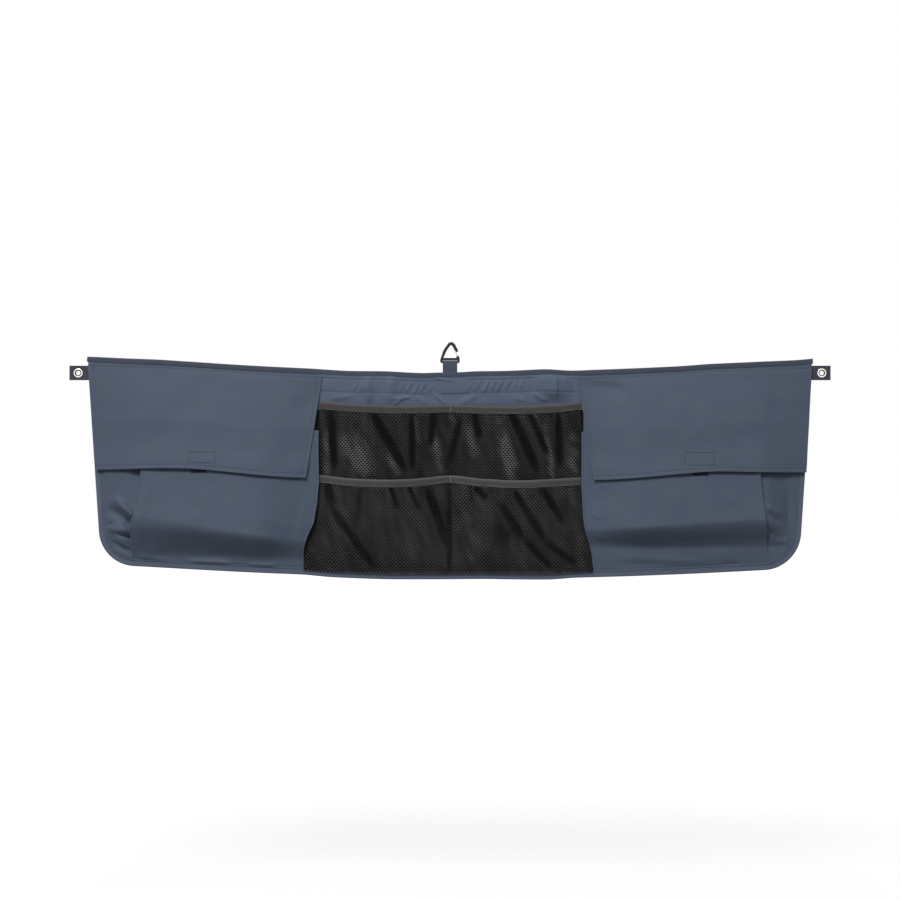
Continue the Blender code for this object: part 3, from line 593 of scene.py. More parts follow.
# A pucker is (x, z of its top, rise), placed one by one as all the folds below are.
PUCKERS = (
    [(-0.160, -0.017, 0.0012), (-0.149, -0.019, 0.0016), (-0.139, -0.018, 0.0011)]
    + [(-0.079, -0.018, 0.0011), (-0.066, -0.015, 0.0020), (-0.053, -0.016, 0.0023)]
    + [(-0.042, -0.014, 0.0018), (-0.029, -0.018, 0.0013)]
    + [(0.037, -0.019, 0.0010), (0.052, -0.015, 0.0018), (0.067, -0.016, 0.0023)]
    + [(0.080, -0.013, 0.0020), (0.090, -0.015, 0.0022), (0.104, -0.013, 0.0020)]
    + [(0.116, -0.015, 0.0012), (0.128, -0.012, 0.0017)]
)
# A fold is (from, to, width, height), in metres; each end is (x, z).
BAND_FOLDS = (
    ((-0.026, -0.0085), (0.007, -0.0145), 0.0024, 0.0018),
    ((-0.030, -0.034), (-0.004, -0.056), 0.0028, 0.0022),
    ((-0.100, -0.046), (-0.066, -0.041), 0.0030, 0.0022),
    ((-0.098, -0.056), (-0.080, -0.043), 0.0030, 0.0018),
    ((-0.060, -0.040), (-0.040, -0.052), 0.0035, 0.0016),
    ((0.018, -0.052), (0.050, -0.040), 0.0045, 0.0016),
    ((0.142, -0.038), (0.168, -0.052), 0.0040, 0.0020),
    ((0.108, -0.044), (0.132, -0.050), 0.0040, 0.0014),
    ((0.196, -0.010), (0.212, -0.034), 0.0024, 0.0014),
    ((-0.205, -0.046), (-0.165, -0.040), 0.0040, 0.0014),
    ((-0.142, -0.008), (-0.140, -0.052), 0.0080, 0.0034),
    ((-0.100, -0.008), (-0.104, -0.052), 0.0080, 0.0030),
)


# The strap's sewn end lifts a rectangle of the cloth, and the pleat has these places and heights.
STRAP_END_SIDES, STRAP_END_DEPTHS, STRAP_END_RISE = (-0.016, 0.033), (0.011, 0.038), 0.0011
PLEAT_FOOT, PLEAT_CREST, PLEAT_DROP, PLEAT_TAIL = 0.140, 0.1845, 0.0016, 0.186
PLEAT_HEIGHT, PLEAT_LEFTOVER = 0.0120, 0.0095
BAND_HALF, BAND_FOOT = 0.215, 0.285


def plateau(t, bounds, edge=0.003):
    """1 between two bounds and 0 outside them, with soft edges."""
    return ease((t - bounds[0]) / edge) * ease((bounds[1] - t) / edge)


def pleat(x, below):
    """It rises slowly, drops at its crest and runs out behind, all below the top stitches."""
    tall = ease((below - 0.007) / 0.009) * (1 - ease((below - 0.032) / 0.026))
    dropped = ease((x - PLEAT_CREST) / PLEAT_DROP)
    stand = PLEAT_HEIGHT * ease((x - PLEAT_FOOT) / 0.044) * (1 - dropped)
    behind = PLEAT_LEFTOVER * dropped * (1 - np.clip((x - PLEAT_TAIL) / 0.026, 0, 1))
    return (stand + behind) * tall


def band_relief(x, z):
    """Forward heights of the band between the flaps: puckers, tucks, the pleat and stitch rows."""
    below = top_edge(x) - z
    rows_apart = HEM_LINES[1] - HEM_LINES[0]
    height = 0.0007 * np.sin(math.pi * np.clip((below - HEM_LINES[0]) / rows_apart, 0, 1))
    for at, top, rise in PUCKERS:
        low = (at - 3.6 * rise - 0.003, top - 6.0 * rise - 0.007)
        height = height + fold(x, z, (at, top), low, 0.0024 + 0.4 * rise, 0.8 * rise)
    height = height + sum(fold(x, z, *given) for given in BAND_FOLDS)
    strap_end = plateau(x, STRAP_END_SIDES) * plateau(below, STRAP_END_DEPTHS)
    wave = 0.0006 * ripple(3, x, z, (0.026, 0.015)) + 0.0009 * ripple(4, x, z, (0.070, 0.030))
    height = height + STRAP_END_RISE * strap_end + pleat(x, below)
    height = height + (0.0009 + wave) * ease((below - 0.004) / 0.008)
    rows = sum(groove(below - line, 0.0007) for line in HEM_LINES)
    return np.maximum(height + rows, -0.0001)


def panel_place(u, v):
    """Rows follow the sagging bottom edge upwards; the lowest ones are shorter, for the corners."""
    rise = v * PANEL_HEIGHT
    side_and_corner = OUTLINE[: len(side_part) + len(corner_arc) - 2]
    above = side_and_corner[:, 1] - bottom_edge(side_and_corner[:, 0])
    x = u * np.interp(rise, above[::-1], side_and_corner[::-1, 0])
    z = bottom_edge(x) + rise
    shown = 1 - ease((np.abs(x) - BAND_HALF) / 0.02)
    near = ease((rise - BAND_FOOT) / 0.02)
    return x, -CLOTH / 2 - band_relief(x, z) * shown * near, z


across = np.concatenate([np.linspace(-1, 1, 221), np.linspace(-0.36, 0.36, 281)])
across = np.unique(np.round(across, 5))
quarter = CORNER_RADIUS * (1 - np.cos(np.linspace(0, math.pi / 2, 15)))
up = np.concatenate([quarter, np.linspace(0.080, 0.290, 15), np.linspace(0.294, 0.355, 50)]) / PANEL_HEIGHT
panel = cloth("panel_cloth", across, up, panel_place, CLOTH, panel_polyester_with_painted_shade, "panel_cloth")
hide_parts("back_panel")
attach(panel, "panel")

# %% [markdown]
# ## Binding tapes
#
# The top edge and the sides and bottom are each wrapped in a folded tape. A ribbon follows the edge
# and takes the folded profile: down the front, round over the edge and down the back. The real
# fold is round, so the profile has an arc. The tape pulls in slightly at its stitches.

# %% Tape over an edge


def folded_tape(width, lap, bend=5):
    """(inwards, y) points of a tape folded over an edge, from the front hem to the back hem."""
    over = GAP + TAPE / 2
    turn = np.linspace(-math.pi / 2, math.pi / 2, bend)
    front = [(width * s, -lap * (0.86 + 0.14 * math.sin(math.pi * s))) for s in (1, 0.82, 0.68, 0.5, 0.25)]
    arc = [(-over * math.cos(a), lap * math.sin(a)) for a in turn]
    back = [(width * s, lap) for s in (0.25, 0.6, 1)]
    return np.array(front + arc + back)


def bound_edge(name, path, profile, finish, slot):
    """A tape along a path of (x, y, z) points; the profile's inwards is square to the path."""
    path = np.asarray(path, float)
    step = np.gradient(path, axis=0)
    step /= np.linalg.norm(step[:, [0, 2]], axis=1, keepdims=True)

    def place(u, v):
        i = np.rint(u * (len(path) - 1)).astype(int)
        j = np.rint(v * (len(profile) - 1)).astype(int)
        inwards, depth = profile[j, 0], profile[j, 1]
        x = path[i, 0] - step[i, 2] * inwards
        z = path[i, 2] + step[i, 0] * inwards
        return x, path[i, 1] + depth, z

    along, over = np.linspace(0, 1, len(path)), np.linspace(0, 1, len(profile))
    return cloth(name, along, over, place, TAPE, finish, slot)


def edge_path(inset=0.0, top=TOP_SAG - BINDING - 5 * GAP):
    """Points (x, z) down the left side, along the bottom and up the right side."""
    line = inset_outline(inset)
    x, z = line[line[:, 1] <= top].T
    return np.concatenate([-x, x[-2::-1]]), np.concatenate([z, z[-2::-1]])


reach = HALF_TOP + BINDING_OVERHANG
x = np.linspace(reach, -reach, 320)
bound = (("top", (x, top_edge(x)), binding_tape), ("edge", edge_path(), edge_tape_painted_light))
for name, (x, z), finish in bound:
    path = np.stack([x, np.full_like(x, -CLOTH / 2), z], -1)
    profile = folded_tape(BINDING, BINDING_REACH)
    tape = bound_edge(f"{name}_binding_tape", path, profile, finish, "binding_tape")
    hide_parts(f"{name}_binding")
    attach(tape, "panel")

# %% [markdown]
# ## The hanging webbing
#
# One webbing runs across the back and comes out at both ends, where it is folded back on itself to
# make a tab. The eyelet's hole is cut with a Boolean, whose cutter is thrown away once the result
# has been taken.

# %% Webbing, with a hole for each eyelet


def webbing_line():
    """Points (x, y) from the left tab to the right tab."""
    step_from, step_to = HALF_TOP - 0.040, HALF_TOP - 0.016
    across = np.concatenate([np.linspace(0, step_from, 60), np.linspace(step_from, step_to, 7)[1:]])
    y = between(GAP + WEBBING / 2, TAB_FRONT_Y, ease((across - step_from) / (step_to - step_from)))
    fold_radius = (TAB_BACK_Y - TAB_FRONT_Y) / 2
    fold_x = TAB_END - fold_radius - WEBBING / 2
    turn = np.linspace(0, math.pi, 9)
    out = np.linspace(step_to, fold_x, 12)[1:-1]
    back = np.linspace(fold_x, TAB_END - TAB_HEM, 14)[1:]
    x = np.concatenate([across, out, fold_x + fold_radius * np.sin(turn), back])
    y_turn = TAB_FRONT_Y + fold_radius * (1 - np.cos(turn))
    y = np.concatenate([y, np.full_like(out, TAB_FRONT_Y), y_turn, np.full_like(back, TAB_BACK_Y)])
    return np.concatenate([-x[:0:-1], x]), np.concatenate([y[:0:-1], y])


line_x, line_y = webbing_line()


def webbing_cords(v):
    """The slight waviness across a webbing, whose weave has three cords."""
    return 0.00012 * np.cos(math.pi * (2 * v - 1) * 3)


def webbing_place(u, v):
    """The hem carries the webbing along; the tabs are tied fast and don't hang with it."""
    i = np.rint(u * (len(line_x) - 1)).astype(int)
    x, y = line_x[i], line_y[i]
    level = top_edge(np.minimum(np.abs(x), HALF_TOP)) - WEBBING_DROP
    z = level + WEBBING_WIDTH * (v - 0.5)
    _, hung_y, hung_z = hang(x, y, z)
    tied = ease((np.abs(x) - 0.55) / 0.05)
    return x, between(hung_y, y, tied) + webbing_cords(v), between(hung_z, z, tied)


steps = (np.linspace(0, 1, len(line_x)), np.linspace(0, 1, 13))
webbing = cloth("tab_webbing", *steps, webbing_place, WEBBING, polypropylene, "webbing", hung=False)
for side in (-1, 1):
    bpy.ops.mesh.primitive_cylinder_add(vertices=48, radius=BORE + EYELET_WALL + GAP, depth=0.02)
    punch = bpy.context.object
    punch.location = (side * EYELET_X, TAB_FRONT_Y, 0)
    punch.rotation_euler = (math.pi / 2, 0, 0)
    cut = webbing.modifiers.new("Punch", "BOOLEAN")
    cut.object, cut.operation = punch, "DIFFERENCE"
    bpy.context.view_layer.update()
    evaluated = webbing.evaluated_get(bpy.context.evaluated_depsgraph_get())
    cut_mesh = bpy.data.meshes.new_from_object(evaluated)
    webbing.modifiers.clear()
    webbing.data = cut_mesh
    bpy.data.objects.remove(punch)
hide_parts("hanging_webbing")
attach(webbing, "panel")
print("webbing with holes:", len(webbing.data.polygons), "faces")

# %% [markdown]
# ## Eyelets
#
# An eyelet is a short tube with a rolled flange, set through the tab and spread over a washer. It
# is turned: one closed profile goes round the axis. The flange is domed and has a small lip round
# its bore. The washers of the CAD model are right as they are and only get their nickel.

# %% Turned eyelets


def turned(name, profile, centre, finish, slot, steps=64):
    """A closed profile of (radius, towards the front) points, turned about a line along Y."""
    ring = np.asarray(profile, float)
    angle = np.linspace(0, 2 * math.pi, steps, endpoint=False)
    radius, height = ring[:, 0][:, None], ring[:, 1][:, None]
    x, z = centre[0] + radius * np.cos(angle), centre[2] + radius * np.sin(angle)
    points = np.stack([x, np.broadcast_to(centre[1] - height, x.shape), z], -1).reshape(-1, 3)
    corner = np.arange(len(ring) * steps).reshape(len(ring), steps)
    ahead, right = np.roll(corner, -1, axis=0), np.roll(corner, -1, axis=1)
    faces = np.stack([corner, ahead, np.roll(ahead, -1, axis=1), right], -1).reshape(-1, 4)
    run = np.concatenate([[0], np.linalg.norm(np.diff(ring, axis=0), axis=1).cumsum()])
    uv = np.stack(np.broadcast_arrays(angle * BORE, run[:, None]), -1).reshape(-1, 2)
    return piece(name, points, faces, finish, slot, uv)


def eyelet_profile(depth):
    """The flange's dome, its rim, the barrel down through the tab, and its rolled end."""
    dome = [
        (BORE + (FLANGE_RADIUS - BORE) * s, FLANGE * (0.62 + 0.38 * math.sin(math.pi * s) ** 0.8))
        for s in np.linspace(0.04, 0.94, 9)
    ]
    rim = [(FLANGE_RADIUS, FLANGE * 0.45), (FLANGE_RADIUS, 0.0), (BORE + EYELET_WALL, 0.0)]
    roll = BORE + EYELET_WALL + 0.0012
    tail = [
        (BORE + EYELET_WALL, -depth),
        (roll - 0.0002, -depth),
        (roll, -depth - 0.0003),
        (roll - 0.0002, -depth - EYELET_WALL),
        (BORE + 0.0003, -depth - EYELET_WALL),
        (BORE, -depth - EYELET_WALL + 0.0003),
        (BORE, FLANGE * 0.4),
    ]
    return dome + rim + tail


front_face = TAB_FRONT_Y - WEBBING / 2 - GAP
back_face = TAB_BACK_Y + WEBBING / 2 + GAP
for name, side in SIDES:
    place = (side * EYELET_X, front_face, 0)
    profile = eyelet_profile(back_face - front_face + WASHER + GAP)
    eyelet = turned(f"{name}_tab_eyelet", profile, place, eyelet_nickel, "nickel")
    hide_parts(f"{name}_eyelet")
    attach(eyelet, "panel")
    for material_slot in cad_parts[f"{name}_eyelet_washer"].material_slots:
        material_slot.material = nickel

# %% [markdown]
# ## Cargo pockets
#
# Each cargo pocket is a front and two gussets. It is fullest below its middle, then turns under
# to the seam at the bottom, and that underside looks darker because it faces the ground. The right
# pocket turns under along a crisp line, the left one softly along a slanting one. The outer gusset
# falls back to the side in a few creases.

# %% The pockets' shape
POCKET_FOOT = -0.345
# How far from the middle each pocket's inner edge is at these levels; -1 is the left side.
INNER_LEVELS = [-0.345, -0.320, -0.295, -0.280, -0.261, -0.227, -0.189, -0.140, -0.105]
INNER_EDGE = {
    -1: [0.2535, 0.2522, 0.2485, 0.2430, 0.2345, 0.2285, 0.2250, 0.2262, 0.2260],
    1: [0.2475, 0.2450, 0.2400, 0.2350, 0.2300, 0.2275, 0.2255, 0.2262, 0.2260],
}


def pocket_inner(side, z):
    """How far from the middle a pocket's inner edge is; the left one flares more than the right."""
    wobble = 0.0008 * ripple(7 + side, z, 0 * z, (0.016, 1.0)) * ease((-z - 0.2) / 0.05)
    return np.interp(z, INNER_LEVELS, INNER_EDGE[side]) + wobble


# How far each pocket's outer crease strays inwards or outwards at these levels.
CREASE_LEVELS = [-0.317, -0.288, -0.2665, -0.249, -0.2105, -0.170, -0.105]
CREASE_SHIFT = {
    -1: [-0.0025, 0.0003, 0.0023, -0.0010, -0.0060, -0.0070, -0.0060],
    1: [-0.0018, -0.0025, -0.0030, -0.0035, -0.0045, -0.0050, -0.0045],
}


def pocket_crease(side, z):
    """Where the front turns into the outer gusset; neither pocket's crease hangs quite straight."""
    depth = np.clip((-z - MOUTH_DROP) / (PANEL_HEIGHT - MOUTH_DROP), 0.0, 1.0)
    shift = np.interp(z, CREASE_LEVELS, CREASE_SHIFT[side])
    return side_edge(z) - between(0.0844, 0.0466, depth) + shift


def mouth_level(x):
    return top_edge(x) - MOUTH_DROP


# Where the front starts to turn under and where it ends, at these distances from the middle.
UNDER_AT = [0.245, 0.300, 0.369, 0.400, 0.450, 0.500, 0.550]
UNDER_TOP = {
    -1: [-0.2940, -0.2870, -0.2760, -0.2710, -0.2620, -0.2540, -0.2460],
    1: [-0.2700, -0.2660, -0.2610, -0.2590, -0.2550, -0.2510, -0.2480],
}
UNDER_END = {
    -1: [-0.3280, -0.3260, -0.3230, -0.3225, -0.3225, -0.3240, -0.3260],
    1: [-0.3000, -0.3005, -0.3005, -0.3005, -0.3000, -0.2990, -0.2980],
}


def bulge(side, x, z):
    """How full a pocket is at height z: 1 at its fullest, nearly 0 at the bottom seam."""
    top = mouth_level(x)
    down = (top - z) / (top - seam_level(x))
    filled = np.clip(down / 0.76, 0.0, 1.0)
    filling = between(0.45, 1.0, filled * (0.78 + 0.22 * filled))
    start, end = np.interp(x, UNDER_AT, UNDER_TOP[side]), np.interp(x, UNDER_AT, UNDER_END[side])
    under = np.clip((start - z) / (start - end), 0.0, 1.0)
    under = between(ease(under), under, 0.45 if side > 0 else 0.15)
    last = 1 - ease((down - 0.86) / 0.14)
    return filling * between(1.0, 0.09 * last, under)


def front_depth(side, x, z):
    """How far a pocket's front stands off the panel's middle, without its creases."""
    inner = pocket_inner(side, z)
    share = (x - inner) / (pocket_crease(side, z) - inner)
    full = between(0.38, 1.0, ease(share / 0.35)) - 0.15 * ease((share - 1) / 0.30 + 1)
    return ON_PANEL + POCKET_DEPTH * full * bulge(side, x, z)


def gusset_seam(z):
    """Where the outer gusset is sewn down, just inside the panel's edge tape."""
    return inset_edge(z, SEAM_INSET)


def gusset_depth(side, x, z, hollow):
    """The outer gusset's fall from the crease to its seam; a larger hollow sags deeper."""
    crease = pocket_crease(side, z)
    share = (x - crease) / np.maximum(gusset_seam(z) - crease, 0.0001)
    fall = (1 - np.clip(share, 0.0, 1.0)) ** hollow
    return ON_PANEL + (front_depth(side, crease, z) - ON_PANEL) * fall


def pocket_depth(side, x, z):
    """The depth of the pocket's outside wherever a flap may lie over it."""
    z = np.minimum(z, mouth_level(x))
    front = front_depth(side, np.maximum(x, pocket_inner(side, z)), z)
    return np.where(x > pocket_crease(side, z), gusset_depth(side, x, z, 1.0), front)


# %% Creases of the pocket fronts and gussets
FRONT_FOLDS = {
    -1: [
        ((0.4530, -0.3300), (0.3740, -0.3330), 0.0050, 0.0036),
        ((0.3510, -0.3360), (0.2980, -0.3385), 0.0045, 0.0036),
        ((0.5200, -0.2000), (0.5350, -0.3050), 0.0090, 0.0016),
        ((0.2420, -0.2100), (0.2620, -0.3000), 0.0080, 0.0014),
        ((0.5400, -0.3180), (0.4900, -0.3300), 0.0050, 0.0018),
    ],
    1: [
        ((0.4700, -0.3310), (0.5000, -0.3310), 0.0060, -0.0025),
        ((0.2460, -0.1950), (0.2580, -0.2150), 0.0040, 0.0012),
        ((0.2440, -0.2400), (0.2600, -0.2520), 0.0035, 0.0012),
        ((0.2500, -0.2800), (0.2680, -0.2880), 0.0035, 0.0013),
        ((0.2900, -0.3180), (0.4400, -0.3230), 0.0060, 0.0020),
    ],
}
GUSSET_FOLDS = {
    -1: [
        ((0.5760, -0.2190), (0.5290, -0.2600), 0.0060, 0.0085),
        ((0.5860, -0.2350), (0.5360, -0.2740), 0.0080, -0.0090),
        ((0.5960, -0.2700), (0.5440, -0.2750), 0.0055, 0.0036),
        ((0.5980, -0.2665), (0.5800, -0.2620), 0.0030, -0.0030),
        ((0.5740, -0.2790), (0.5400, -0.2910), 0.0032, -0.0050),
        ((0.5850, -0.2940), (0.5420, -0.3160), 0.0048, -0.0050),
    ],
    1: [
        ((0.5400, -0.2260), (0.5720, -0.2430), 0.0044, 0.0034),
        ((0.5440, -0.2390), (0.5640, -0.2560), 0.0046, -0.0028),
        ((0.5420, -0.2620), (0.5560, -0.2780), 0.0044, -0.0024),
        ((0.5480, -0.2977), (0.5720, -0.2994), 0.0040, -0.0026),
        ((0.5600, -0.2860), (0.5850, -0.2880), 0.0050, 0.0018),
        ((0.5800, -0.2000), (0.5860, -0.2600), 0.0075, -0.0026),
    ],
}


def front_relief(side, x, z):
    """Forward heights of a pocket front: its creases, a slow waviness and the mouth's hem."""
    height = sum(fold(x, z, *given) for given in FRONT_FOLDS[side])
    wave = 0.0012 * ripple(10 + side, x, z, (0.070, 0.055))
    wave = wave + 0.0005 * ripple(30 + side, x, z, (0.026, 0.020))
    edge = np.minimum(x - pocket_inner(side, z), pocket_crease(side, z) - x)
    calm = ease(edge / 0.02) * ease((z - seam_level(x)) / 0.012)
    hem = groove(mouth_level(x) - z - 0.012)
    seams = groove(edge - 0.004, 0.0005) + groove(z - seam_level(x) - 0.0035, 0.0005)
    return height * ease((z - seam_level(x)) / 0.006) + wave * calm + hem + seams


def gusset_relief(side, x, z):
    """Forward heights of an outer gusset, which fade out at its crease and its seam."""
    height = sum(fold(x, z, *given) for given in GUSSET_FOLDS[side])
    inside = ease((x - pocket_crease(side, z)) / 0.004) * ease((gusset_seam(z) - x) / 0.012)
    wave = 0.0014 * ripple(30 + side, x, z, (0.030, 0.045))
    return (height + wave) * inside


# %% Pocket fronts
# How deep the crease is tucked in, how far along the gusset that reaches, and how hollow it hangs.
TUCK, TUCK_REACH = {-1: 0.0110, 1: 0.0060}, {-1: 0.26, 1: 0.14}
HOLLOW = {-1: 1.2, 1: 1.9}
POLYESTER_SHEET = (CLOTH, polyester, "panel_cloth")


def pocket_front(name, side):
    """The front, whose outer edge wraps round into the crease over its last two hundredths."""
    foot_x, mouth_x = pocket_crease(side, -PANEL_HEIGHT), pocket_crease(side, -MOUTH_DROP)
    foot_inner = float(pocket_inner(side, POCKET_FOOT))

    def place(u, v):
        share, wrap = np.minimum(u, 1.0), np.clip((u - 1.0) / 0.02, 0.0, 1.0) * math.pi / 2
        low = seam_level(between(foot_inner, foot_x, share))
        z = between(low, mouth_level(between(POCKET_INNER, mouth_x, share)), v)
        x = between(pocket_inner(side, z), pocket_crease(side, z), share)
        depth = front_depth(side, x, z) + front_relief(side, x, z)
        turned_in = np.minimum(TUCK[side] + 0.0010, 0.8 * (depth - ON_PANEL)) * (1 - np.cos(wrap))
        return side * (x + 0.0014 * np.sin(wrap)), turned_in - depth, z

    u = np.concatenate([lines(0.304, 0.0038, (0.004, 0.300)), [1.006, 1.012, 1.020]])
    v = lines(0.244, 0.0026, (0.0035, 0.232))
    front = cloth(f"{name}_front_cloth", u, v, place, *POLYESTER_SHEET)
    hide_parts(f"{name}_pocket_front")
    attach(front, "panel")
    return front


# %% Outer and inner gussets
OUTER_GUSSET_TOP = 0.6059


def outer_gusset(name, side):
    """It ends where it would be less than 6 mm wide."""
    mouth_x = pocket_crease(side, -MOUTH_DROP)
    levels = np.linspace(mouth_level(HALF_BOTTOM), POCKET_FOOT, 240)
    foot = levels[np.argmax(gusset_seam(levels) - pocket_crease(side, levels) < 0.006)]

    def place(u, v):
        z = between(foot, mouth_level(between(mouth_x, OUTER_GUSSET_TOP, u)), v)
        x = between(pocket_crease(side, z) - 0.0006, gusset_seam(z), u)
        depth = gusset_depth(side, x, z, HOLLOW[side])
        tuck = np.minimum(TUCK[side], 0.7 * (depth - ON_PANEL)) * np.exp(-((u / TUCK_REACH[side]) ** 2))
        return side * x, -np.maximum(depth - tuck + gusset_relief(side, x, z), ON_PANEL), z

    steps = (np.linspace(0, 1, 45), np.linspace(0, 1, 110))
    gusset = cloth(f"{name}_gusset_cloth", *steps, place, *POLYESTER_SHEET)
    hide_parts(f"{name}_outer_gusset")
    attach(gusset, "panel")
    print(f"{name} outer gusset ends at {foot:.4f}")
    return gusset


def inner_gusset(name, side):
    """It ends where the front stands less than 5 mm off."""
    levels = np.linspace(mouth_level(POCKET_INNER), seam_level(0.250), 240)
    foot = levels[np.argmax(front_depth(side, pocket_inner(side, levels), levels) < 0.005)]

    def place(u, v):
        z = between(foot, mouth_level(POCKET_INNER), v)
        x = pocket_inner(side, z) + 0.002
        depth = front_depth(side, x, z) - CLOTH - GAP
        pucker = 0.0010 * np.sin(math.pi * u) * np.sin(z * 210) ** 2
        return side * (x + pucker), -between(CLOTH + GAP, depth, u), z

    steps = (np.linspace(0, 1, 9), np.linspace(0, 1, 60))
    gusset = cloth(f"{name}_inner_cloth", *steps, place, *POLYESTER_SHEET)
    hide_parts(f"{name}_inner_gusset")
    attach(gusset, "panel")
    print(f"{name} inner gusset ends at {foot:.4f}")
    return gusset


makers = (pocket_front, outer_gusset, inner_gusset)
pockets = {side: [make(name, side) for make in makers] for name, side in SIDES}

# %% [markdown]
# ## Flaps
#
# A flap hangs straight from its seam to the pocket's mouth and then lies on the pocket. It turns up at its
# lower hem, and the row of stitches there pulls a fine groove. A rectangle of stitches shows where the
# hook patch is sewn to its back.

# %% The flaps' shape
# A flap is wider at its seam than at its foot by both of these lengths.
SEAM_WIDER, FOOT_NARROWER = 0.006, 0.021
FLAP_IN = POCKET_INNER - SEAM_WIDER
# Each patch is (distance from the middle, level, width, height), in metres.
HOOK_PATCH = (0.4305, -0.149, 0.051, 0.023)
LOOP_PATCH = {-1: (0.4305, -0.151, 0.026, 0.050), 1: (0.4282, -0.151, 0.026, 0.050)}
# The rectangle of stitches is (outer, inner, upper, lower), and the grid has lines along it.
PATCH_ROWS = {-1: (0.4465, 0.4010, -0.1425, -0.1605), 1: (0.4540, 0.4040, -0.1385, -0.1600)}
FLAP_MARKS = {
    -1: ((0.006, 0.1616, 0.2080), (0.006, 0.0096, 0.0126, 0.0283, 0.0310, 0.176)),
    1: ((0.006, 0.1629, 0.2133), (0.006, 0.0098, 0.0128, 0.0322, 0.0348, 0.176)),
}
FLAP_SEAM_DROP = 0.009


def flap_hinge(x):
    """The flap's seam is straight, so that the flap can turn about it."""
    start, end = top_edge(FLAP_IN), top_edge(HALF_TOP)
    chord = between(start, end, (x - FLAP_IN) / (HALF_TOP - FLAP_IN))
    half_span = (HALF_TOP - FLAP_IN) / 2
    return chord - TOP_SAG * (half_span / HALF_TOP) ** 2 - FLAP_SEAM_DROP


def flap_foot(x):
    """The flap's lower edge rises a little towards its outer part."""
    inner = POCKET_INNER + FOOT_NARROWER
    return -between(0.184, 0.169, ease((x - inner) / (0.476 - inner)))


def flap_depth(side, x, z):
    """How far the flap stands off the panel's middle, from its seam to the pocket it lies on."""
    hinge = flap_hinge(x)
    down = np.clip((hinge - z) / (hinge - mouth_level(x)), 0.0, 1.0)
    under = sum(pocket_depth(side, x + shift, z) for shift in (-0.014, 0.0, 0.014)) / 3
    standoff = FLAP_STANDOFF - 0.0012 * (1 - np.exp(-(((x - HOOK_PATCH[0]) / 0.05) ** 2)))
    return between(FLAP_BASE, under + standoff, down * (1.15 - 0.15 * down))


def flap_inner_edge(z):
    """How far from the middle a flap's inner edge is at this height."""
    foot, hinge = flap_foot(POCKET_INNER), flap_hinge(POCKET_INNER)
    share = np.clip((z - foot) / (hinge - foot), 0, 1)
    return POCKET_INNER + between(FOOT_NARROWER, -SEAM_WIDER, share)


def patch_rectangle(side, x, z):
    """A groove along the hook patch's rectangle of stitches."""
    outer, inner, high, low = PATCH_ROWS[side]
    aside = np.maximum(np.maximum(x - outer, inner - x), 0)
    above = np.maximum(np.maximum(z - high, low - z), 0)
    across = np.minimum(np.abs(z - high), np.abs(z - low)) + aside
    upright = np.minimum(np.abs(x - outer), np.abs(x - inner)) + above
    return groove(np.minimum(across, upright), 0.0008)


def flap_relief(side, x, z):
    """Forward heights of a flap: slow waves, its hem and the flare that turns the hem up."""
    seed = 50 + side
    foot = z - flap_foot(x)
    below = flap_hinge(x) - z
    wave = 0.0014 * ripple(seed, x, z, (0.090, 0.060))
    wave = wave + 0.0005 * ripple(seed + 7, x, z, (0.030, 0.024))
    slant = 0.0010 * ripple(seed + 11, x + 0.9 * z, z - 0.9 * x, (0.050, 0.160))
    hem = groove(foot - 0.006, 0.0005) + groove(x - flap_inner_edge(z) - 0.006, 0.0005)
    puff = 0.0005 * np.exp(-(((foot - 0.003) / 0.002) ** 2))
    flare = 0.0024 * ease((0.048 - foot) / 0.048)
    top = groove(below - 0.004, 0.0004)
    calm = ease(below / 0.02) * between(0.35, 1.0, ease(foot / 0.02))
    height = (wave + slant) * calm + hem + puff + flare + top
    if side == 1:
        height = height + fold(x, z, (0.222, -0.010), (0.306, -0.036), 0.012, -0.0040) * calm
        height = height + fold(x, z, (0.330, -0.020), (0.420, -0.080), 0.020, 0.0012) * calm
    return height + patch_rectangle(side, x, z)


FLAP_PAST_SIDE = {-1: -0.0012, 1: 0.0028}


def flap_place(side):
    """The formula of one flap, for its cloth and for the seams on it."""

    def place(u, v):
        inner = POCKET_INNER + between(FOOT_NARROWER, -SEAM_WIDER, v)
        outer = side_edge(between(flap_foot(HALF_TOP), flap_hinge(HALF_TOP), v)) + FLAP_PAST_SIDE[side]
        x = between(inner, outer, u)
        z = between(flap_foot(x), flap_hinge(x), v)
        return side * x, -flap_depth(side, x, z) - flap_relief(side, x, z), z

    return place


def follow_flap(made):
    """The piece keeps its place, with its transform baked into its mesh."""
    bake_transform(made)


def on_front(side, patch, lift):
    """A patch with a slight crown that lies this far in front of a pocket's front."""
    centre, level, width, height = patch

    def place(u, v):
        x = centre + width * (u - 0.5)
        z = level + height * (v - 0.5)
        crown = 0.0002 * np.sin(math.pi * u) * np.sin(math.pi * v)
        return side * x, -front_depth(side, x, z) - lift - crown, z

    return place


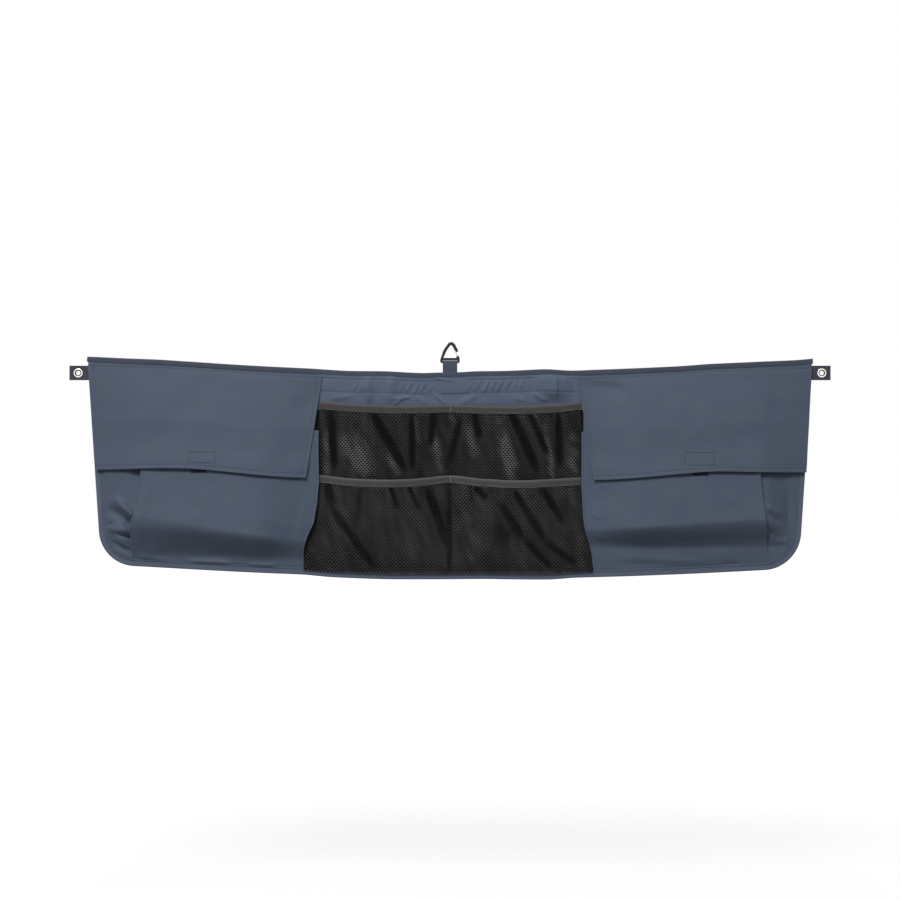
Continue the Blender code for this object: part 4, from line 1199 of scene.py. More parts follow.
FLAP_WIDTH = 0.375
for name, side in SIDES:
    u = lines(FLAP_WIDTH, 0.0042, FLAP_MARKS[side][0])
    v = lines(0.180, 0.0034, FLAP_MARKS[side][1])
    made = cloth(f"{name}_flap_cloth", u, v, flap_place(side), *POLYESTER_SHEET)
    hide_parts(f"{name}_flap")
    follow_flap(made)
    steps = (np.linspace(0, 1, 25), np.linspace(0, 1, 15))
    place = on_front(side, HOOK_PATCH, FLAP_STANDOFF - CLOTH / 2 - GAP - PATCH / 2)
    hooks = cloth(f"{name}_hook_tape", *steps, place, PATCH, hook_tape, "hook_and_loop")
    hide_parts(f"{name}_hook_patch")
    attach(hooks, f"{name}_flap")
    place = on_front(side, LOOP_PATCH[side], CLOTH / 2 + GAP + PATCH / 2)
    loops = cloth(f"{name}_loop_tape", *steps, place, PATCH, loop_tape, "hook_and_loop")
    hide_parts(f"{name}_loop_patch")
    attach(loops, "panel")

# %% [markdown]
# ## Net pockets
#
# The net is knitted with holes that stand like the diamonds of a quilt, 5.4 mm apart along a row,
# and each next row is 2.7 mm lower. That is three pixels here, hardly enough to show, so the net is
# drawn a tenth coarser. Nothing but real holes looks like a net, so each one is modelled: a ring of
# six strands round every hole, laid over the pocket's shape. The yarn is gathered into the elastic,
# so folds run down from it. A cell keeps its size along the cloth, and so the holes close up where
# a fold turns away from the eye.

# %% The net pockets' shape
# The level of each elastic mouth along X, as it is seen when the strip hangs.
MOUTHS = {
    "upper": soft_curve(
        [-0.226, -0.190, -0.120, -0.060, -0.020, 0.0, 0.030, 0.060, 0.115, 0.160, 0.190, 0.226],
        [-0.0495, -0.0535, -0.0572, -0.0578, -0.0565, -0.0558, -0.0572, -0.0582, -0.0588, -0.0572]
        + [-0.0552, -0.0508],
    ),
    "lower": soft_curve(
        [-0.224, -0.174, -0.1225, -0.071, -0.037, 0.0, 0.0138, 0.048, 0.099, 0.133, 0.184, 0.2236],
        [-0.1765, -0.1826, -0.1846, -0.1840, -0.1811, -0.1768, -0.1785, -0.1826, -0.1860, -0.1860]
        + [-0.1832, -0.1812],
    ),
}
SEED = {"upper": 70, "lower": 80}


def mouth_line(name, x):
    """The top of an elastic mouth before hang() lifts it; it dips between its three pinned points."""
    seen = MOUTHS[name](x)
    down = (top_edge(x) - seen) / PANEL_HEIGHT
    return seen - between(TOP_LIFT(x), BOTTOM_LIFT(x), down)


def net_reach(x, z):
    """How far from the middle the net on this side goes."""
    return np.where(x < 0, pocket_inner(-1, z), pocket_inner(1, z)) - CLOTH


def net_swell(name, x, z):
    """How far a net stands off what is behind it, and nothing at its seams."""
    share = np.sin(math.pi * np.minimum(np.abs(x) / net_reach(x, z), 1.0)) ** 1.2
    top = mouth_line(name, x) - ELASTIC
    down = np.clip((top - z) / (top - seam_level(x)), 0.0, 1.0)
    return share * (0.009 * np.sin(math.pi * down**0.8) + 0.009 * (1 - ease(down)))


def net_depth(name, x, z):
    """How far a net stands off the panel's middle; the lower net lies over the upper one."""
    if name == "upper":
        return UPPER_BASE + net_swell("upper", x, z)
    behind = net_depth("upper", x, np.minimum(z, mouth_line("lower", x) - ELASTIC)) - UPPER_BASE
    return behind + LOWER_BASE + net_swell("lower", x, z)


# %% Folds of the nets
# Hollows come first, then the ridges, which also get painted light on the net.
LONG_FOLDS = {
    "upper": [
        ((-0.206, -0.066), (-0.198, -0.172), 0.0060, -0.0060),
        ((-0.136, -0.066), (-0.075, -0.170), 0.0070, -0.0070),
        ((-0.066, -0.066), (-0.064, -0.168), 0.0050, -0.0060),
        ((-0.028, -0.066), (-0.034, -0.130), 0.0060, -0.0050),
        ((0.020, -0.070), (-0.004, -0.165), 0.0060, -0.0050),
        ((0.040, -0.066), (0.052, -0.118), 0.0060, -0.0050),
        ((0.103, -0.066), (0.152, -0.172), 0.0070, -0.0070),
        ((0.134, -0.066), (0.172, -0.150), 0.0060, -0.0050),
        ((0.186, -0.068), (0.190, -0.165), 0.0060, -0.0060),
        ((-0.176, -0.098), (-0.145, -0.186), 0.0220, 0.0055),
        ((-0.214, -0.095), (-0.211, -0.186), 0.0080, 0.0040),
        ((-0.104, -0.130), (-0.086, -0.186), 0.0090, 0.0050),
        ((-0.178, -0.062), (-0.160, -0.090), 0.0120, 0.0024),
        ((-0.064, -0.070), (-0.050, -0.125), 0.0080, 0.0028),
        ((-0.030, -0.105), (-0.010, -0.176), 0.0100, 0.0045),
        ((0.002, -0.064), (0.012, -0.100), 0.0090, 0.0030),
        ((0.030, -0.085), (0.048, -0.162), 0.0100, 0.0040),
        ((0.086, -0.100), (0.112, -0.190), 0.0130, 0.0055),
        ((0.072, -0.062), (0.088, -0.092), 0.0100, 0.0026),
        ((0.145, -0.068), (0.152, -0.110), 0.0070, 0.0030),
        ((0.163, -0.085), (0.178, -0.188), 0.0075, 0.0055),
        ((0.213, -0.100), (0.209, -0.186), 0.0110, 0.0045),
    ],
    "lower": [
        ((-0.208, -0.2266), (-0.129, -0.337), 0.0065, -0.0060),
        ((-0.212, -0.1900), (-0.200, -0.2300), 0.0080, -0.0050),
        ((-0.0407, -0.193), (-0.003, -0.302), 0.0075, -0.0060),
        ((-0.001, -0.176), (-0.001, -0.360), 0.0045, -0.0050),
        ((-0.104, -0.188), (-0.088, -0.236), 0.0050, -0.0045),
        ((-0.074, -0.188), (-0.050, -0.240), 0.0050, -0.0040),
        ((-0.152, -0.190), (-0.160, -0.262), 0.0070, -0.0028),
        ((0.041, -0.197), (0.065, -0.219), 0.0060, -0.0050),
        ((0.0855, -0.224), (0.126, -0.285), 0.0065, -0.0060),
        ((0.126, -0.285), (0.1776, -0.336), 0.0060, -0.0050),
        ((0.106, -0.197), (0.164, -0.289), 0.0060, -0.0060),
        ((0.164, -0.289), (0.2185, -0.330), 0.0060, -0.0050),
        ((0.157, -0.197), (0.198, -0.262), 0.0060, -0.0055),
        ((0.070, -0.262), (0.108, -0.286), 0.0140, -0.0030),
        ((-0.182, -0.222), (-0.178, -0.338), 0.0160, 0.0030),
        ((-0.105, -0.200), (-0.098, -0.255), 0.0080, 0.0030),
        ((-0.062, -0.225), (-0.066, -0.338), 0.0280, 0.0030),
        ((0.036, -0.210), (0.042, -0.338), 0.0240, 0.0030),
        ((0.116, -0.286), (0.136, -0.344), 0.0220, 0.0030),
        ((0.116, -0.203), (0.142, -0.255), 0.0070, 0.0040),
        ((0.204, -0.195), (0.216, -0.245), 0.0080, 0.0040),
        ((0.222, -0.270), (0.232, -0.340), 0.0100, 0.0040),
    ],
}


def net_gathers(name, x, z):
    """Short ridges that run down from the elastic and fade, from 0 to 1."""
    below = np.maximum(mouth_line(name, x) - ELASTIC - z, 0)
    drift = x + 0.004 * ripple(SEED[name] + 1, x, z, (0.03, 0.05))
    return (0.5 + 0.5 * ripple(SEED[name] + 6, drift, z, (0.0065, 0.060))) * np.exp(-below / 0.030)


def net_relief(name, x, z):
    """Forward heights of a net: gathers under the elastic, soft slanting folds and the long ones."""
    below = mouth_line(name, x) - ELASTIC - z
    seed = SEED[name]
    slant = 0.34 if name == "lower" else 0.20 * np.sign(x + 0.05)
    drift = x + slant * (z + 0.2) + 0.010 * ripple(seed, x, z, (0.050, 0.090))
    wide = 0.5 + 0.5 * np.cos(2 * math.pi * drift / 0.034)
    strength = 0.6 + 0.4 * ripple(seed + 2, x, z, (0.060, 0.080))
    height = 0.0020 * wide**1.4 * strength + 0.0026 * net_gathers(name, x, z)
    height = height + sum(fold(x, z, *given) for given in LONG_FOLDS[name])
    height = height + 0.0012 * ripple(seed + 3, x, z, (0.022, 0.030))
    edge = np.minimum(np.abs(x), net_reach(x, z) - np.abs(x))
    free = ease(edge / 0.022) * ease((z - seam_level(x)) / 0.030) * ease(below / 0.008)
    if name == "upper":
        free = free * (1 - 0.7 * ease((-0.185 - z) / 0.020))
    return np.maximum(height * free, -0.75 * net_swell(name, x, z))


def net_painted_light(name, x, z):
    """The net's painted light and shade: nearly 0 in the valleys of its folds, which get painted shade,
    and 1 where it lies open, which gets painted light.
    """
    folds = [fold(x, z, *given) for given in LONG_FOLDS[name]]
    patchy = 0.75 + 0.55 * ripple(SEED[name] + 7, x + 0.4 * z, z, (0.009, 0.016))
    open_part = ease(patchy * sum(np.maximum(height, 0) for height in folds) / 0.0042 - 0.06)
    valley = ease(sum(np.maximum(-height, 0) for height in folds) / 0.0040)
    cloud = 0.07 * ripple(SEED[name] + 4, x + 0.3 * z, z, (0.011, 0.030))
    below = mouth_line(name, x) - ELASTIC - z
    # Painted shade just under the elastic, and painted light on the ridges of its gathers.
    painted_shade = 0.08 * np.exp(-np.maximum(below, 0) / 0.028) - 0.20 * net_gathers(name, x, z)
    level, lighter = (0.15, 0.42) if name == "upper" else (0.17, 0.13)
    return np.clip((level + cloud - painted_shade + lighter * open_part) * (1 - 0.95 * valley), 0.0, 1.0)


# %% Keep the cells' size
# In the flat a cell is 6.8 mm wide, which the gathers narrow to 6.1 mm.
NET_PITCH, NET_ROW, GATHER = 0.0068, 0.0030, 1.12
HOLE_SHARE, STRAND_RELIEF = 0.72, 0.0005


MIDWAY = 0.12


def spread_along(name, side, steps=160, columns=200):
    """A table of x for (share along the yarn, share down), so that cells keep their size."""
    share = np.linspace(0, 1, 420)
    low, high = seam_level(POCKET_INNER), float(mouth_line(name, MIDWAY)) - ELASTIC - GAP
    table = np.empty((steps, columns))
    for k, down in enumerate(np.linspace(0, 1, steps)):
        x = side * share * (pocket_inner(side, between(high, low, down)) - CLOTH)
        z = between(mouth_line(name, x) - ELASTIC - GAP, seam_level(x), down)
        y = -net_depth(name, x, z) - net_relief(name, x, z)
        run = np.concatenate([[0], np.hypot(np.diff(x), np.diff(y)).cumsum()])
        table[k] = np.interp(np.linspace(0, run[-1], columns), run, x)
    return table


def sample(table, a, b):
    """Reads the table between its entries."""
    i, j = b * (table.shape[0] - 1), a * (table.shape[1] - 1)
    i0 = np.minimum(i.astype(int), table.shape[0] - 2)
    j0 = np.minimum(j.astype(int), table.shape[1] - 2)
    s, t = i - i0, j - j0
    low = between(table[i0, j0], table[i0, j0 + 1], t)
    return between(low, between(table[i0 + 1, j0], table[i0 + 1, j0 + 1], t), s)


# %% Knit a net with real holes
# The net's edges squash some strands flat; those under this area, in square metres, are left out.
SMALLEST_STRAND = 2e-8


def knit(width, height):
    """Flat points and faces of a net with six strands round each hole, and how many are outer."""
    columns, rows = int(width / NET_PITCH) + 2, int(height / NET_ROW) + 2
    i, j = np.meshgrid(np.arange(columns), np.arange(rows))
    centre = np.stack([(i + 0.5 * (j % 2)) * NET_PITCH, j * NET_ROW], -1).reshape(-1, 1, 2)
    angle = np.radians(30 + 60 * np.arange(6))
    ring = np.stack([np.cos(angle) * NET_PITCH / math.sqrt(3), np.sin(angle) * NET_ROW / 1.5], -1)
    outer, inner = (centre + ring).reshape(-1, 2), (centre + ring * HOLE_SHARE).reshape(-1, 2)
    keys = np.round(outer * 1e5).astype(int)
    _, first, index = np.unique(keys, axis=0, return_index=True, return_inverse=True)
    index = index.reshape(-1, 6)
    hole = np.arange(len(inner)).reshape(-1, 6) + len(first)
    quads = np.stack([index, np.roll(index, -1, 1), np.roll(hole, -1, 1), hole], -1).reshape(-1, 4)
    return np.concatenate([outer[first], inner]), quads, len(first)


def net_half(name, where, side):
    """One half of a net pocket, from the centre seam to the cargo pocket."""
    width = GATHER * (POCKET_INNER + POCKET_FLARE / 2)
    height = float(mouth_line(name, MIDWAY) - ELASTIC - seam_level(MIDWAY))
    flat, quads, outer_count = knit(width, height)
    a, b = np.clip(flat[:, 0] / width, 0, 1), np.clip(flat[:, 1] / height, 0, 1)
    x = sample(spread_along(name, side), a, b)
    z = between(mouth_line(name, x) - ELASTIC * 0.5, seam_level(x) - 0.002, b)
    sunk = np.where(np.arange(len(flat)) < outer_count, 0.0, STRAND_RELIEF)
    points = np.stack(hang(x, sunk - net_depth(name, x, z) - net_relief(name, x, z), z), -1)
    p = points[quads]
    area = np.linalg.norm(np.cross(p[:, 2] - p[:, 0], p[:, 3] - p[:, 1]), axis=1) / 2
    quads = quads[area > SMALLEST_STRAND]
    if side > 0:
        quads = quads[:, ::-1]
    used, again = np.unique(quads, return_inverse=True)
    faces = again.reshape(-1, 4)
    made = piece(f"{name}_net_{where}", points[used], faces, net_yarn, "net", flat[used])
    # The net's painted light and shade goes into a second UV map, which its finish reads.
    painted_light = net_painted_light(name, x, z)[used][again.ravel()]
    layer = made.data.uv_layers.new(name="Spread")
    layer.data.foreach_set("uv", np.stack([painted_light, 0 * painted_light], -1).astype(np.float32).ravel())
    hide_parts(f"{name}_mesh")
    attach(made, "panel")
    yarn = (1 - HOLE_SHARE**2) * width * height
    print(f"{made.name}: cut {width:.3f} x {height:.3f} m, yarn {yarn:.4f} m2")
    return made, (width, height), yarn


nets = [net_half(name, where, side) for name in MOUTHS for where, side in SIDES]

# %% [markdown]
# ## Elastic mouths
#
# Each mouth is bound in elastic, folded over the net like a tape. The elastic dips between its three
# fixed points and puckers a little where the net is gathered into it.

# %% Elastic bindings
for name, finish in (("upper", upper_elastic), ("lower", lower_elastic)):
    x = np.linspace(POCKET_INNER - CLOTH, CLOTH - POCKET_INNER, 261)
    z = mouth_line(name, x)
    pinned = ease(np.abs(x) / 0.02) * ease((POCKET_INNER - np.abs(x)) / 0.03)
    gather = 0.0007 * ripple(91, x, 0 * x, (0.0075, 1.0)) * pinned
    wobble = 0.0003 * ripple(92, x, 0 * x, (0.012, 1.0))
    path = np.stack([x, gather - net_depth(name, x, z), z + wobble], -1)
    profile = folded_tape(ELASTIC, NET / 2 + GAP + TAPE / 2)
    made = bound_edge(f"{name}_mouth_elastic", path, profile, finish, "elastic")
    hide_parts(f"{name}_elastic")
    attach(made, "panel")

# %% [markdown]
# ## Stitches
#
# A seam reads as sewn when single stitches show. Each one is a small lozenge of thread, laid along
# a line on the cloth and half sunk in it. The lines come from the same formulas as the cloth. Real
# stitches here are about 3 mm long, and the thread is drawn a little thicker than its 0.4 mm.

# %% Sew along a line


def sew(name, paths, finish, pitch=0.0034, length=0.0026, width=0.0007):
    """Stitches along each path of points; each path comes with the side its thread lies on."""
    points, faces = [], []
    for path, outward in paths:
        run = np.concatenate([[0], np.linalg.norm(np.diff(path, axis=0), axis=1).cumsum()])
        count = max(int(run[-1] / pitch), 1)
        at = (np.arange(count) + 0.5) * run[-1] / count
        behind, centre, ahead = (
            np.stack([np.interp(at + shift, run, path[:, k]) for k in range(3)], -1)
            for shift in (-0.001, 0.0, 0.001)
        )
        forward = ahead - behind
        forward /= np.maximum(np.linalg.norm(forward, axis=1, keepdims=True), 1e-9)
        beside = np.cross(forward, outward)
        beside /= np.linalg.norm(beside, axis=1, keepdims=True)
        out = np.cross(beside, forward)
        corners = []
        for along in (-0.28, 0.28):
            for turn in math.pi / 4 + np.arange(4) * math.pi / 2:
                around = beside * math.cos(turn) + out * math.sin(turn)
                corners.append(centre + forward * along * length + around * width * 0.62)
        for along in (-0.5, 0.5):
            corners.append(centre + forward * length * along - out * width * 0.3)
        start = sum(len(p) for p in points)
        points.append(np.stack(corners, 1).reshape(-1, 3))
        for first in start + len(corners) * np.arange(count):
            for k in range(4):
                a, b = first + k, first + (k + 1) % 4
                faces += [(a + 4, b + 4, b, a), (a, b, first + 8), (b + 4, a + 4, first + 9)]
    points = np.concatenate(points)
    return piece(name, points, faces, finish, "thread", points[:, [0, 2]])


FRONT, BACK = (0, -1, 0), (0, 1, 0)
THREAD_LIFT = 0.0001


def hung_line(x, y, z):
    """A line of points that hangs with the cloth it is sewn on."""
    return np.stack(np.broadcast_arrays(*hang(x, y, z)), -1)


# %% Seams of the panel and its tapes
seams = []
tape_stitches = BINDING * 0.74
tape_front = -CLOTH / 2 - BINDING_REACH * 0.93 - TAPE / 2 - THREAD_LIFT
tape_back = -CLOTH / 2 + BINDING_REACH + TAPE / 2 + THREAD_LIFT
x = np.linspace(-HALF_TOP, HALF_TOP, 500)
for x, z in ((x, top_edge(x) - tape_stitches), edge_path(tape_stitches)):
    seams += [(hung_line(x, tape_front, z), FRONT), (hung_line(x, tape_back, z), BACK)]
x = np.linspace(-0.222, 0.222, 220)
for line in HEM_LINES:
    z = top_edge(x) - line
    seams.append((hung_line(x, -CLOTH - band_relief(x, z) - THREAD_LIFT, z), FRONT))
x = np.linspace(-0.55, 0.55, 420)
for line in HEM_LINES:
    seams.append((hung_line(x, GAP + WEBBING + THREAD_LIFT, top_edge(x) - line), BACK))
panel_thread = sew("panel_seam_thread", seams, thread)
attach(panel_thread, "panel")

# %% Seams of the pockets, and stitches that show on the back


def on_pocket(side, x, z):
    """A seam on a pocket's front."""
    y = -front_depth(side, x, z) - front_relief(side, x, z) - CLOTH / 2 - THREAD_LIFT
    return hung_line(side * x, y, z), FRONT


seams = []
for name, side in SIDES:
    z = np.linspace(-0.120, -0.336, 120)
    seams.append(on_pocket(side, pocket_inner(side, z) + 0.004, z))
    x = np.linspace(0.258, 0.552, 160)
    seams.append(on_pocket(side, x, seam_level(x) + 0.0035))
    x = np.linspace(0.232, 0.528, 140)
    seams.append(on_pocket(side, x, mouth_level(x) - 0.012))
    z = np.linspace(-0.110, -0.340, 120)
    seams.append((hung_line(side * pocket_inner(side, z), THREAD_LIFT, z), BACK))
    x = np.linspace(0.222, 0.610, 180)
    seams.append((hung_line(side * x, THREAD_LIFT, flap_hinge(x) - 0.002), BACK))
z = np.linspace(-0.060, POCKET_FOOT, 140)
seams.append((hung_line(0 * z, THREAD_LIFT, z), BACK))
pocket_thread = sew("pocket_seam_thread", seams, thread)
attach(pocket_thread, "panel")

# %% Seams of the flaps
for name, side in SIDES:
    inner = 0.006 / FLAP_WIDTH
    run, rise = np.linspace(inner, 0.995, 180), np.linspace(0.034, 0.965, 90)
    seams = []
    for u, v in ((run, 0.0335), (inner, rise), (np.linspace(0.004, 0.995, 180), 0.978)):
        x, y, z = flap_place(side)(*np.broadcast_arrays(u, v))
        seams.append((hung_line(x, y - CLOTH / 2 - THREAD_LIFT, z), FRONT))
    outer, near, high, low = PATCH_ROWS[side]
    corners = [(near, low), (outer, low), (outer, high), (near, high), (near, low)]
    for (x0, z0), (x1, z1) in zip(corners, corners[1:]):
        x, z = np.linspace(x0, x1, 20), np.linspace(z0, z1, 20)
        y = -flap_depth(side, x, z) - flap_relief(side, x, z) - CLOTH / 2 - THREAD_LIFT
        seams.append((hung_line(side * x, y, z), FRONT))
    follow_flap(sew(f"{name}_flap_thread", seams, thread))

# %% [markdown]
# ## Threads of the net pockets
#
# Black thread sews the nets down along the middle and the sides. At the middle of each elastic
# mouth a pale bar tack, a block of close zigzag stitches, takes the pull.

# %% Net threads and bar tacks
TACK_ROWS, TACK_PITCH, TACK_LEAN = 15, 0.00075, 0.0003
seams = []
for name, foot in (("upper", -0.176), ("lower", POCKET_FOOT)):
    z = np.linspace(float(mouth_line(name, 0.0)) - ELASTIC - 0.002, foot, 80)
    seams.append((hung_line(0 * z, -net_depth(name, 0 * z, z) - NET, z), FRONT))
    x = np.linspace(-POCKET_INNER + 0.003, POCKET_INNER - 0.003, 240)
    z = mouth_line(name, x) - ELASTIC * 0.84
    y = -net_depth(name, x, z) - NET / 2 - GAP - TAPE - THREAD_LIFT
    seams.append((hung_line(x, y, z), FRONT))
net_thread = sew("net_seam_thread", seams, black_thread)
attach(net_thread, "panel")
for name, base in (("upper", UPPER_BASE), ("lower", LOWER_BASE)):
    y = -(base + NET / 2 + GAP + TAPE + GAP)
    seams = []
    for k in range(TACK_ROWS):
        z = float(mouth_line(name, 0.0)) - 0.0008 - k * TACK_PITCH
        lean = TACK_LEAN if k % 2 else -TACK_LEAN
        seams.append((np.array([(0.0003, y, z - lean), (0.0017, y, z + lean)]), FRONT))
    tack = sew(f"{name}_tack_thread", seams, pale_thread, pitch=0.0014, length=0.0015, width=0.0008)
    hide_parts(f"{name}_bar_tack")
    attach(tack, "panel")

# %% [markdown]
# ## The middle strap
#
# The strap is one piece of webbing. It passes round the lower bar of the hook, and its two ends are sewn
# behind the hem, under the hanging webbing. It folds at the hem.

# %% Strap round the bar
FOLD_LEVEL, BAR_LEVEL, STRAP_FOOT = 0.0032, 0.0186, -0.0375
WIRE = 0.0016


def strap_path():
    """Points (y, z) from one sewn end up, round the bar and down to the other."""
    fold_half = WEBBING / 2 + GAP / 2
    loop = WIRE + GAP + WEBBING / 2
    rise = BAR_LEVEL - FOLD_LEVEL
    lean = math.asin((loop - fold_half) / rise)
    turn = np.linspace(-lean, math.pi + lean, 25)
    y, z = loop * np.cos(turn), rise + loop * np.sin(turn)
    up = np.linspace(0, 1, 8)[:-1]
    right_y, right_z = between(fold_half, y[0], up), between(0.0, z[0], up)
    below = np.linspace(STRAP_FOOT - FOLD_LEVEL, 0, 12)[:-1]
    half_y = np.concatenate([np.full_like(below, fold_half), right_y])
    half_z = np.concatenate([below, right_z])
    return np.concatenate([half_y, y, -half_y[::-1]]), np.concatenate([half_z, z, half_z[::-1]])


strap_y, strap_z = strap_path()


def strap_place(u, v):
    """The strap doesn't hang with the strip: the hook holds it."""
    i = np.rint(u * (len(strap_y) - 1)).astype(int)
    y = STRAP_Y + strap_y[i] + webbing_cords(v)
    return WEBBING_WIDTH * (v - 0.5), y, FOLD_LEVEL + strap_z[i]


steps = (np.linspace(0, 1, len(strap_y)), np.linspace(0, 1, 13))
strap = cloth("middle_strap", *steps, strap_place, WEBBING, strap_webbing, "webbing", hung=False)
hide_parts("centre_strap", "strap_anchor")
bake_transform(strap)

# %% The box of stitches at the strap's end
BOX_HALF, BOX_HIGH, BOX_LOW = 0.0105, -0.010, -0.034
BOX_Y = STRAP_Y + 2 * WEBBING * 0.62 + 0.0004
high, low = [(-BOX_HALF, BOX_HIGH), (BOX_HALF, BOX_HIGH)], [(-BOX_HALF, BOX_LOW), (BOX_HALF, BOX_LOW)]
seams = []
for ends in (high, low, (low[0], high[1]), (low[1], high[0])):
    path = [(x, BOX_Y, z) for x, z in np.linspace(*ends, 20)]
    seams.append((np.array(path), BACK))
strap_thread = sew("strap_box_thread", seams, thread)
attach(strap_thread, "panel")

# %% [markdown]
# ## The snap hook
#
# The hook is one bent steel wire: up from the ear, round the top and down to the nose. A lower bar
# carries the strap. The gate is a thinner wire loop, held in the knob at the right, and it springs
# shut behind the nose. A wire is a ring of points carried along a path; the path's corners are
# rounded first, because steel bends in arcs.

# %% Wire along a path


def wire(path, radius, side_hint, closed=False, around=16, round_ends=True):
    """Points and faces of a wire along a path; side_hint is never along the path.

    The radius is one number, or one for each point of the path.
    """
    path = np.asarray(path, float)
    radii = np.broadcast_to(np.asarray(radius, float), (len(path),)).copy()
    ends = (float(radii[0]), float(radii[-1]))
    if closed:
        step = np.roll(path, -1, 0) - np.roll(path, 1, 0)
    else:
        if round_ends:
            head, tail = path[0] - path[1], path[-1] - path[-2]
            head, tail = head / np.linalg.norm(head), tail / np.linalg.norm(tail)
            cap = [(0.5, 0.87), (0.87, 0.5), (1.0, 0.06)]
            front = [path[0] + head * ends[0] * a for a, _ in reversed(cap)]
            back = [path[-1] + tail * ends[1] * a for a, _ in cap]
            path = np.concatenate([front, path, back])
            thin = [ends[0] * b for _, b in reversed(cap)]
            radii = np.concatenate([thin, radii, [ends[1] * b for _, b in cap]])
        step = np.gradient(path, axis=0)
    step /= np.linalg.norm(step, axis=1, keepdims=True)
    beside = np.cross(step, side_hint)
    beside /= np.linalg.norm(beside, axis=1, keepdims=True)
    over = np.cross(step, beside)
    angle = np.linspace(0, 2 * math.pi, around, endpoint=False)
    ring = beside[:, None] * np.cos(angle)[None, :, None] + over[:, None] * np.sin(angle)[None, :, None]
    points = (path[:, None] + ring * radii[:, None, None]).reshape(-1, 3)
    corner = np.arange(len(path) * around).reshape(len(path), around)
    right = np.roll(corner, -1, axis=1)
    ahead, ahead_right = np.roll(corner, -1, axis=0), np.roll(right, -1, axis=0)
    faces = np.stack([corner, ahead, ahead_right, right], -1)
    faces = list(map(tuple, (faces if closed else faces[:-1]).reshape(-1, 4)))
    if not closed:
        faces += [tuple(corner[0]), tuple(corner[-1][::-1])]
    return points, faces


def together(*shapes):
    """Several (points, faces) as one."""
    points, faces = [], []
    for some_points, some_faces in shapes:
        start = sum(len(p) for p in points)
        points.append(np.asarray(some_points))
        faces += [tuple(c + start for c in face) for face in some_faces]
    return np.concatenate(points), faces


# %% The hook's wire
EAR = WEBBING_WIDTH / 2 + 0.0007 + WIRE
NOSE, PIVOT, GATE_TIP = (0.0114, 0.0198), (0.0133, 0.0090), (0.0084, 0.0202)
CROSSBAR_LEVEL, CROSSBAR_WIRE, KNOB, GATE_WIRE = 0.0054, 0.0020, 0.0021, 0.0006


def in_hook(points):
    """Puts (x, z) points, measured from the lower bar, in the hook's plane."""
    points = np.asarray(points, float)
    return np.stack([points[:, 0], np.full(len(points), STRAP_Y), BAR_LEVEL + points[:, 1]], -1)


outline = rounded(
    [
        (*NOSE, 0),
        (0.0064, 0.0292, 0.0100),
        (0.0014, 0.0345, 0.0042),
        (-0.0086, 0.0205, 0.0300),
        (-EAR, 0.0045, 0.0080),
        (-EAR, 0, 0.0022),
        (EAR, 0, 0.0022),
        (EAR, 0.0055, 0.0040),
        (*PIVOT, 0),
    ]
)
# The hook is forged a little thicker in its left leg and at the nose than round the lower bar.
height = outline[:, 1]
hook_radius = WIRE + 0.0010 * ease((height - 0.003) / 0.006)
nose_gap = np.hypot(outline[:, 0] - 0.0052, outline[:, 1] - 0.0295)
hook_radius = hook_radius + 0.0003 * np.exp(-((nose_gap / 0.003) ** 2))
beside_strap = ease((np.abs(outline[:, 0]) - WEBBING_WIDTH / 2) / 0.0012)
hook_radius = hook_radius + 0.0006 * beside_strap * ease((0.006 - height) / 0.004)
reach = EAR - WIRE / 2
crossbar = in_hook([(share * reach, CROSSBAR_LEVEL) for share in (-1, -0.5, 0.5, 1)])

# %% The knob, and the hook as one piece
turn = np.linspace(-math.pi / 2, math.pi / 2, 9)[:, None]
ring = np.linspace(0, 2 * math.pi, 24, endpoint=False)
pivot, tip = in_hook([PIVOT, GATE_TIP])
knob_radius = KNOB * np.cos(turn) ** 0.8
knob_x, knob_z = pivot[0] + knob_radius * np.cos(ring), pivot[2] + knob_radius * np.sin(ring)
knob = np.stack(np.broadcast_arrays(knob_x, pivot[1] + KNOB * np.sin(turn), knob_z), -1)
corner = np.arange(knob_x.size).reshape(knob_x.shape)
right = np.roll(corner, -1, axis=1)
knob_faces = np.stack([corner[:-1], corner[1:], right[1:], right[:-1]], -1).reshape(-1, 4)
shape = together(
    wire(in_hook(outline), hook_radius, (0, 1, 0)),
    wire(crossbar, CROSSBAR_WIRE, (0, 1, 0), round_ends=False),
    (knob.reshape(-1, 3), list(map(tuple, knob_faces))),
)
hook = piece("snap_hook", *shape, enamel, "black_enamel")
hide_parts("hook_body")
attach(hook, "hook")

# %% The gate
gate_long = float(np.linalg.norm(tip - pivot))
half = KNOB + GATE_WIRE + GAP
right_half = [(0, 0, 0), (half, 0, 0.0010), (half, gate_long, 0.0022)]
left_half = [(-x, z, radius) for x, z, radius in reversed(right_half)]
loop = rounded(right_half + left_half, steps=8)[:-1]
ahead = (tip - pivot) / gate_long
gate_path = pivot + ahead * loop[:, 1][:, None] + np.array([0, 1.0, 0]) * loop[:, 0][:, None]
shape = wire(gate_path, GATE_WIRE, np.cross(ahead, (0, 1, 0)), closed=True, around=12)
gate = piece("wire_gate", *shape, spring_wire, "nickel")
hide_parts("hook_gate")
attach(gate, "gate")

# %% [markdown]
#
# A net counts only its yarn, because it is mostly holes: each half works out that area from its cut size.

# %% [markdown]
# ## Light, floor and background
#
# The light is that of a plain studio: one large soft lamp above and to the left of the camera, and
# an even fill from all round. The floor and the surroundings are white to the camera, to reflections
# and through glass, and dim for the light that they shed, so the background is white while the
# cloth keeps its colour. The floor still takes the object's soft shadow.

# %% Lights
bpy.context.scene.view_settings.view_transform = "Standard"
KEY_POWER = 244.0
FILL = 0.23

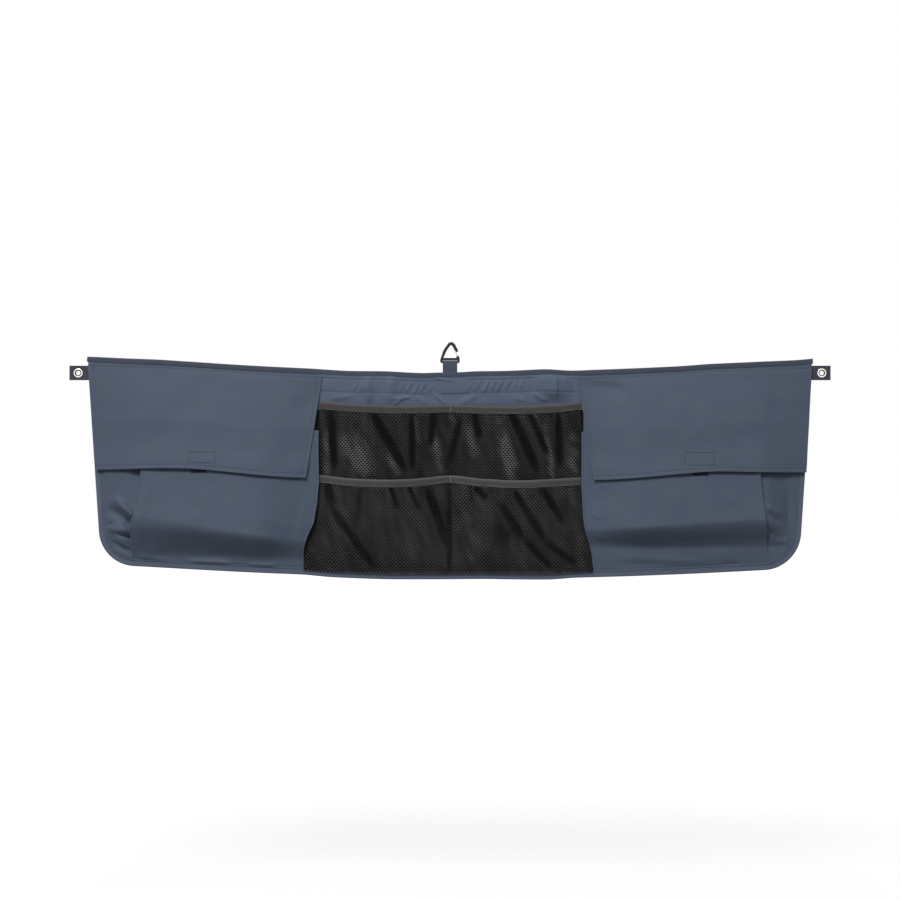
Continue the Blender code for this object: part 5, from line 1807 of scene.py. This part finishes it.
lamp = bpy.data.lights.new("Key", "AREA")
lamp.shape, lamp.size, lamp.size_y, lamp.energy = "RECTANGLE", 2.4, 1.8, KEY_POWER
key = bpy.data.objects.new("Key", lamp)
key.location = (-1.3, -4.3, 3.7)
key.rotation_euler = (Vector((0, 0, -0.15)) - key.location).to_track_quat("-Z", "Y").to_euler()
bpy.context.scene.collection.objects.link(key)


def to_the_eye(finish):
    """1 for rays from the camera, from a reflection or through glass, 0 for light being shed."""
    path = node(finish, "LightPath").outputs
    seen = node(finish, "Math", {0: path["Is Camera Ray"], 1: path["Is Glossy Ray"]}, operation="ADD")
    rays = {0: seen, 1: path["Is Transmission Ray"]}
    return node(finish, "Math", rays, operation="ADD", use_clamp=True)


world = bpy.data.worlds.new("Studio")
bpy.context.scene.world = world
world.use_nodes = True
dim = world.node_tree.nodes["Background"]
feed(world, dim, {"Color": (1, 1, 1, 1), "Strength": FILL})
white = node(world, "Background", {"Color": (1, 1, 1, 1), "Strength": 1.0})
mixed = node(world, "MixShader", {0: to_the_eye(world), 1: dim, 2: white})
feed(world, world.node_tree.nodes["World Output"], {"Surface": mixed})

# %% Floor
FLOOR_LEVEL, FLOOR_RADIUS = -0.95, 14.0
finish, shader = new_finish("White studio floor")
feed(finish, shader, {"Base Color": linear("#868686"), "Roughness": 0.9, "Specular IOR Level": 0.0})
place = node(finish, "TexCoord").outputs["Object"]
away = node(finish, "VectorMath", {0: place}, operation="LENGTH").outputs["Value"]
far = {"Value": away, "From Min": 1.2, "From Max": 2.4, "To Min": 0.85, "To Max": 1.0}
glow = node(finish, "Emission", {"Color": (1, 1, 1, 1), "Strength": node(finish, "MapRange", far)})
dark = node(finish, "Emission", {"Strength": 0.0})
shown = node(finish, "MixShader", {0: to_the_eye(finish), 1: dark, 2: glow})
whole = node(finish, "AddShader", {0: shader, 1: shown})
feed(finish, finish.node_tree.nodes["Material Output"], {"Surface": whole})
ring = np.linspace(0, 2 * math.pi, 96, endpoint=False)
x, y = FLOOR_RADIUS * np.cos(ring), FLOOR_RADIUS * np.sin(ring)
mesh = bpy.data.meshes.new("studio_floor")
mesh.from_pydata(np.stack([x, y, 0 * ring + FLOOR_LEVEL], -1).tolist(), [], [list(range(96))])
mesh.materials.append(finish)
floor = bpy.data.objects.new("studio_floor", mesh)
bpy.context.scene.collection.objects.link(floor)
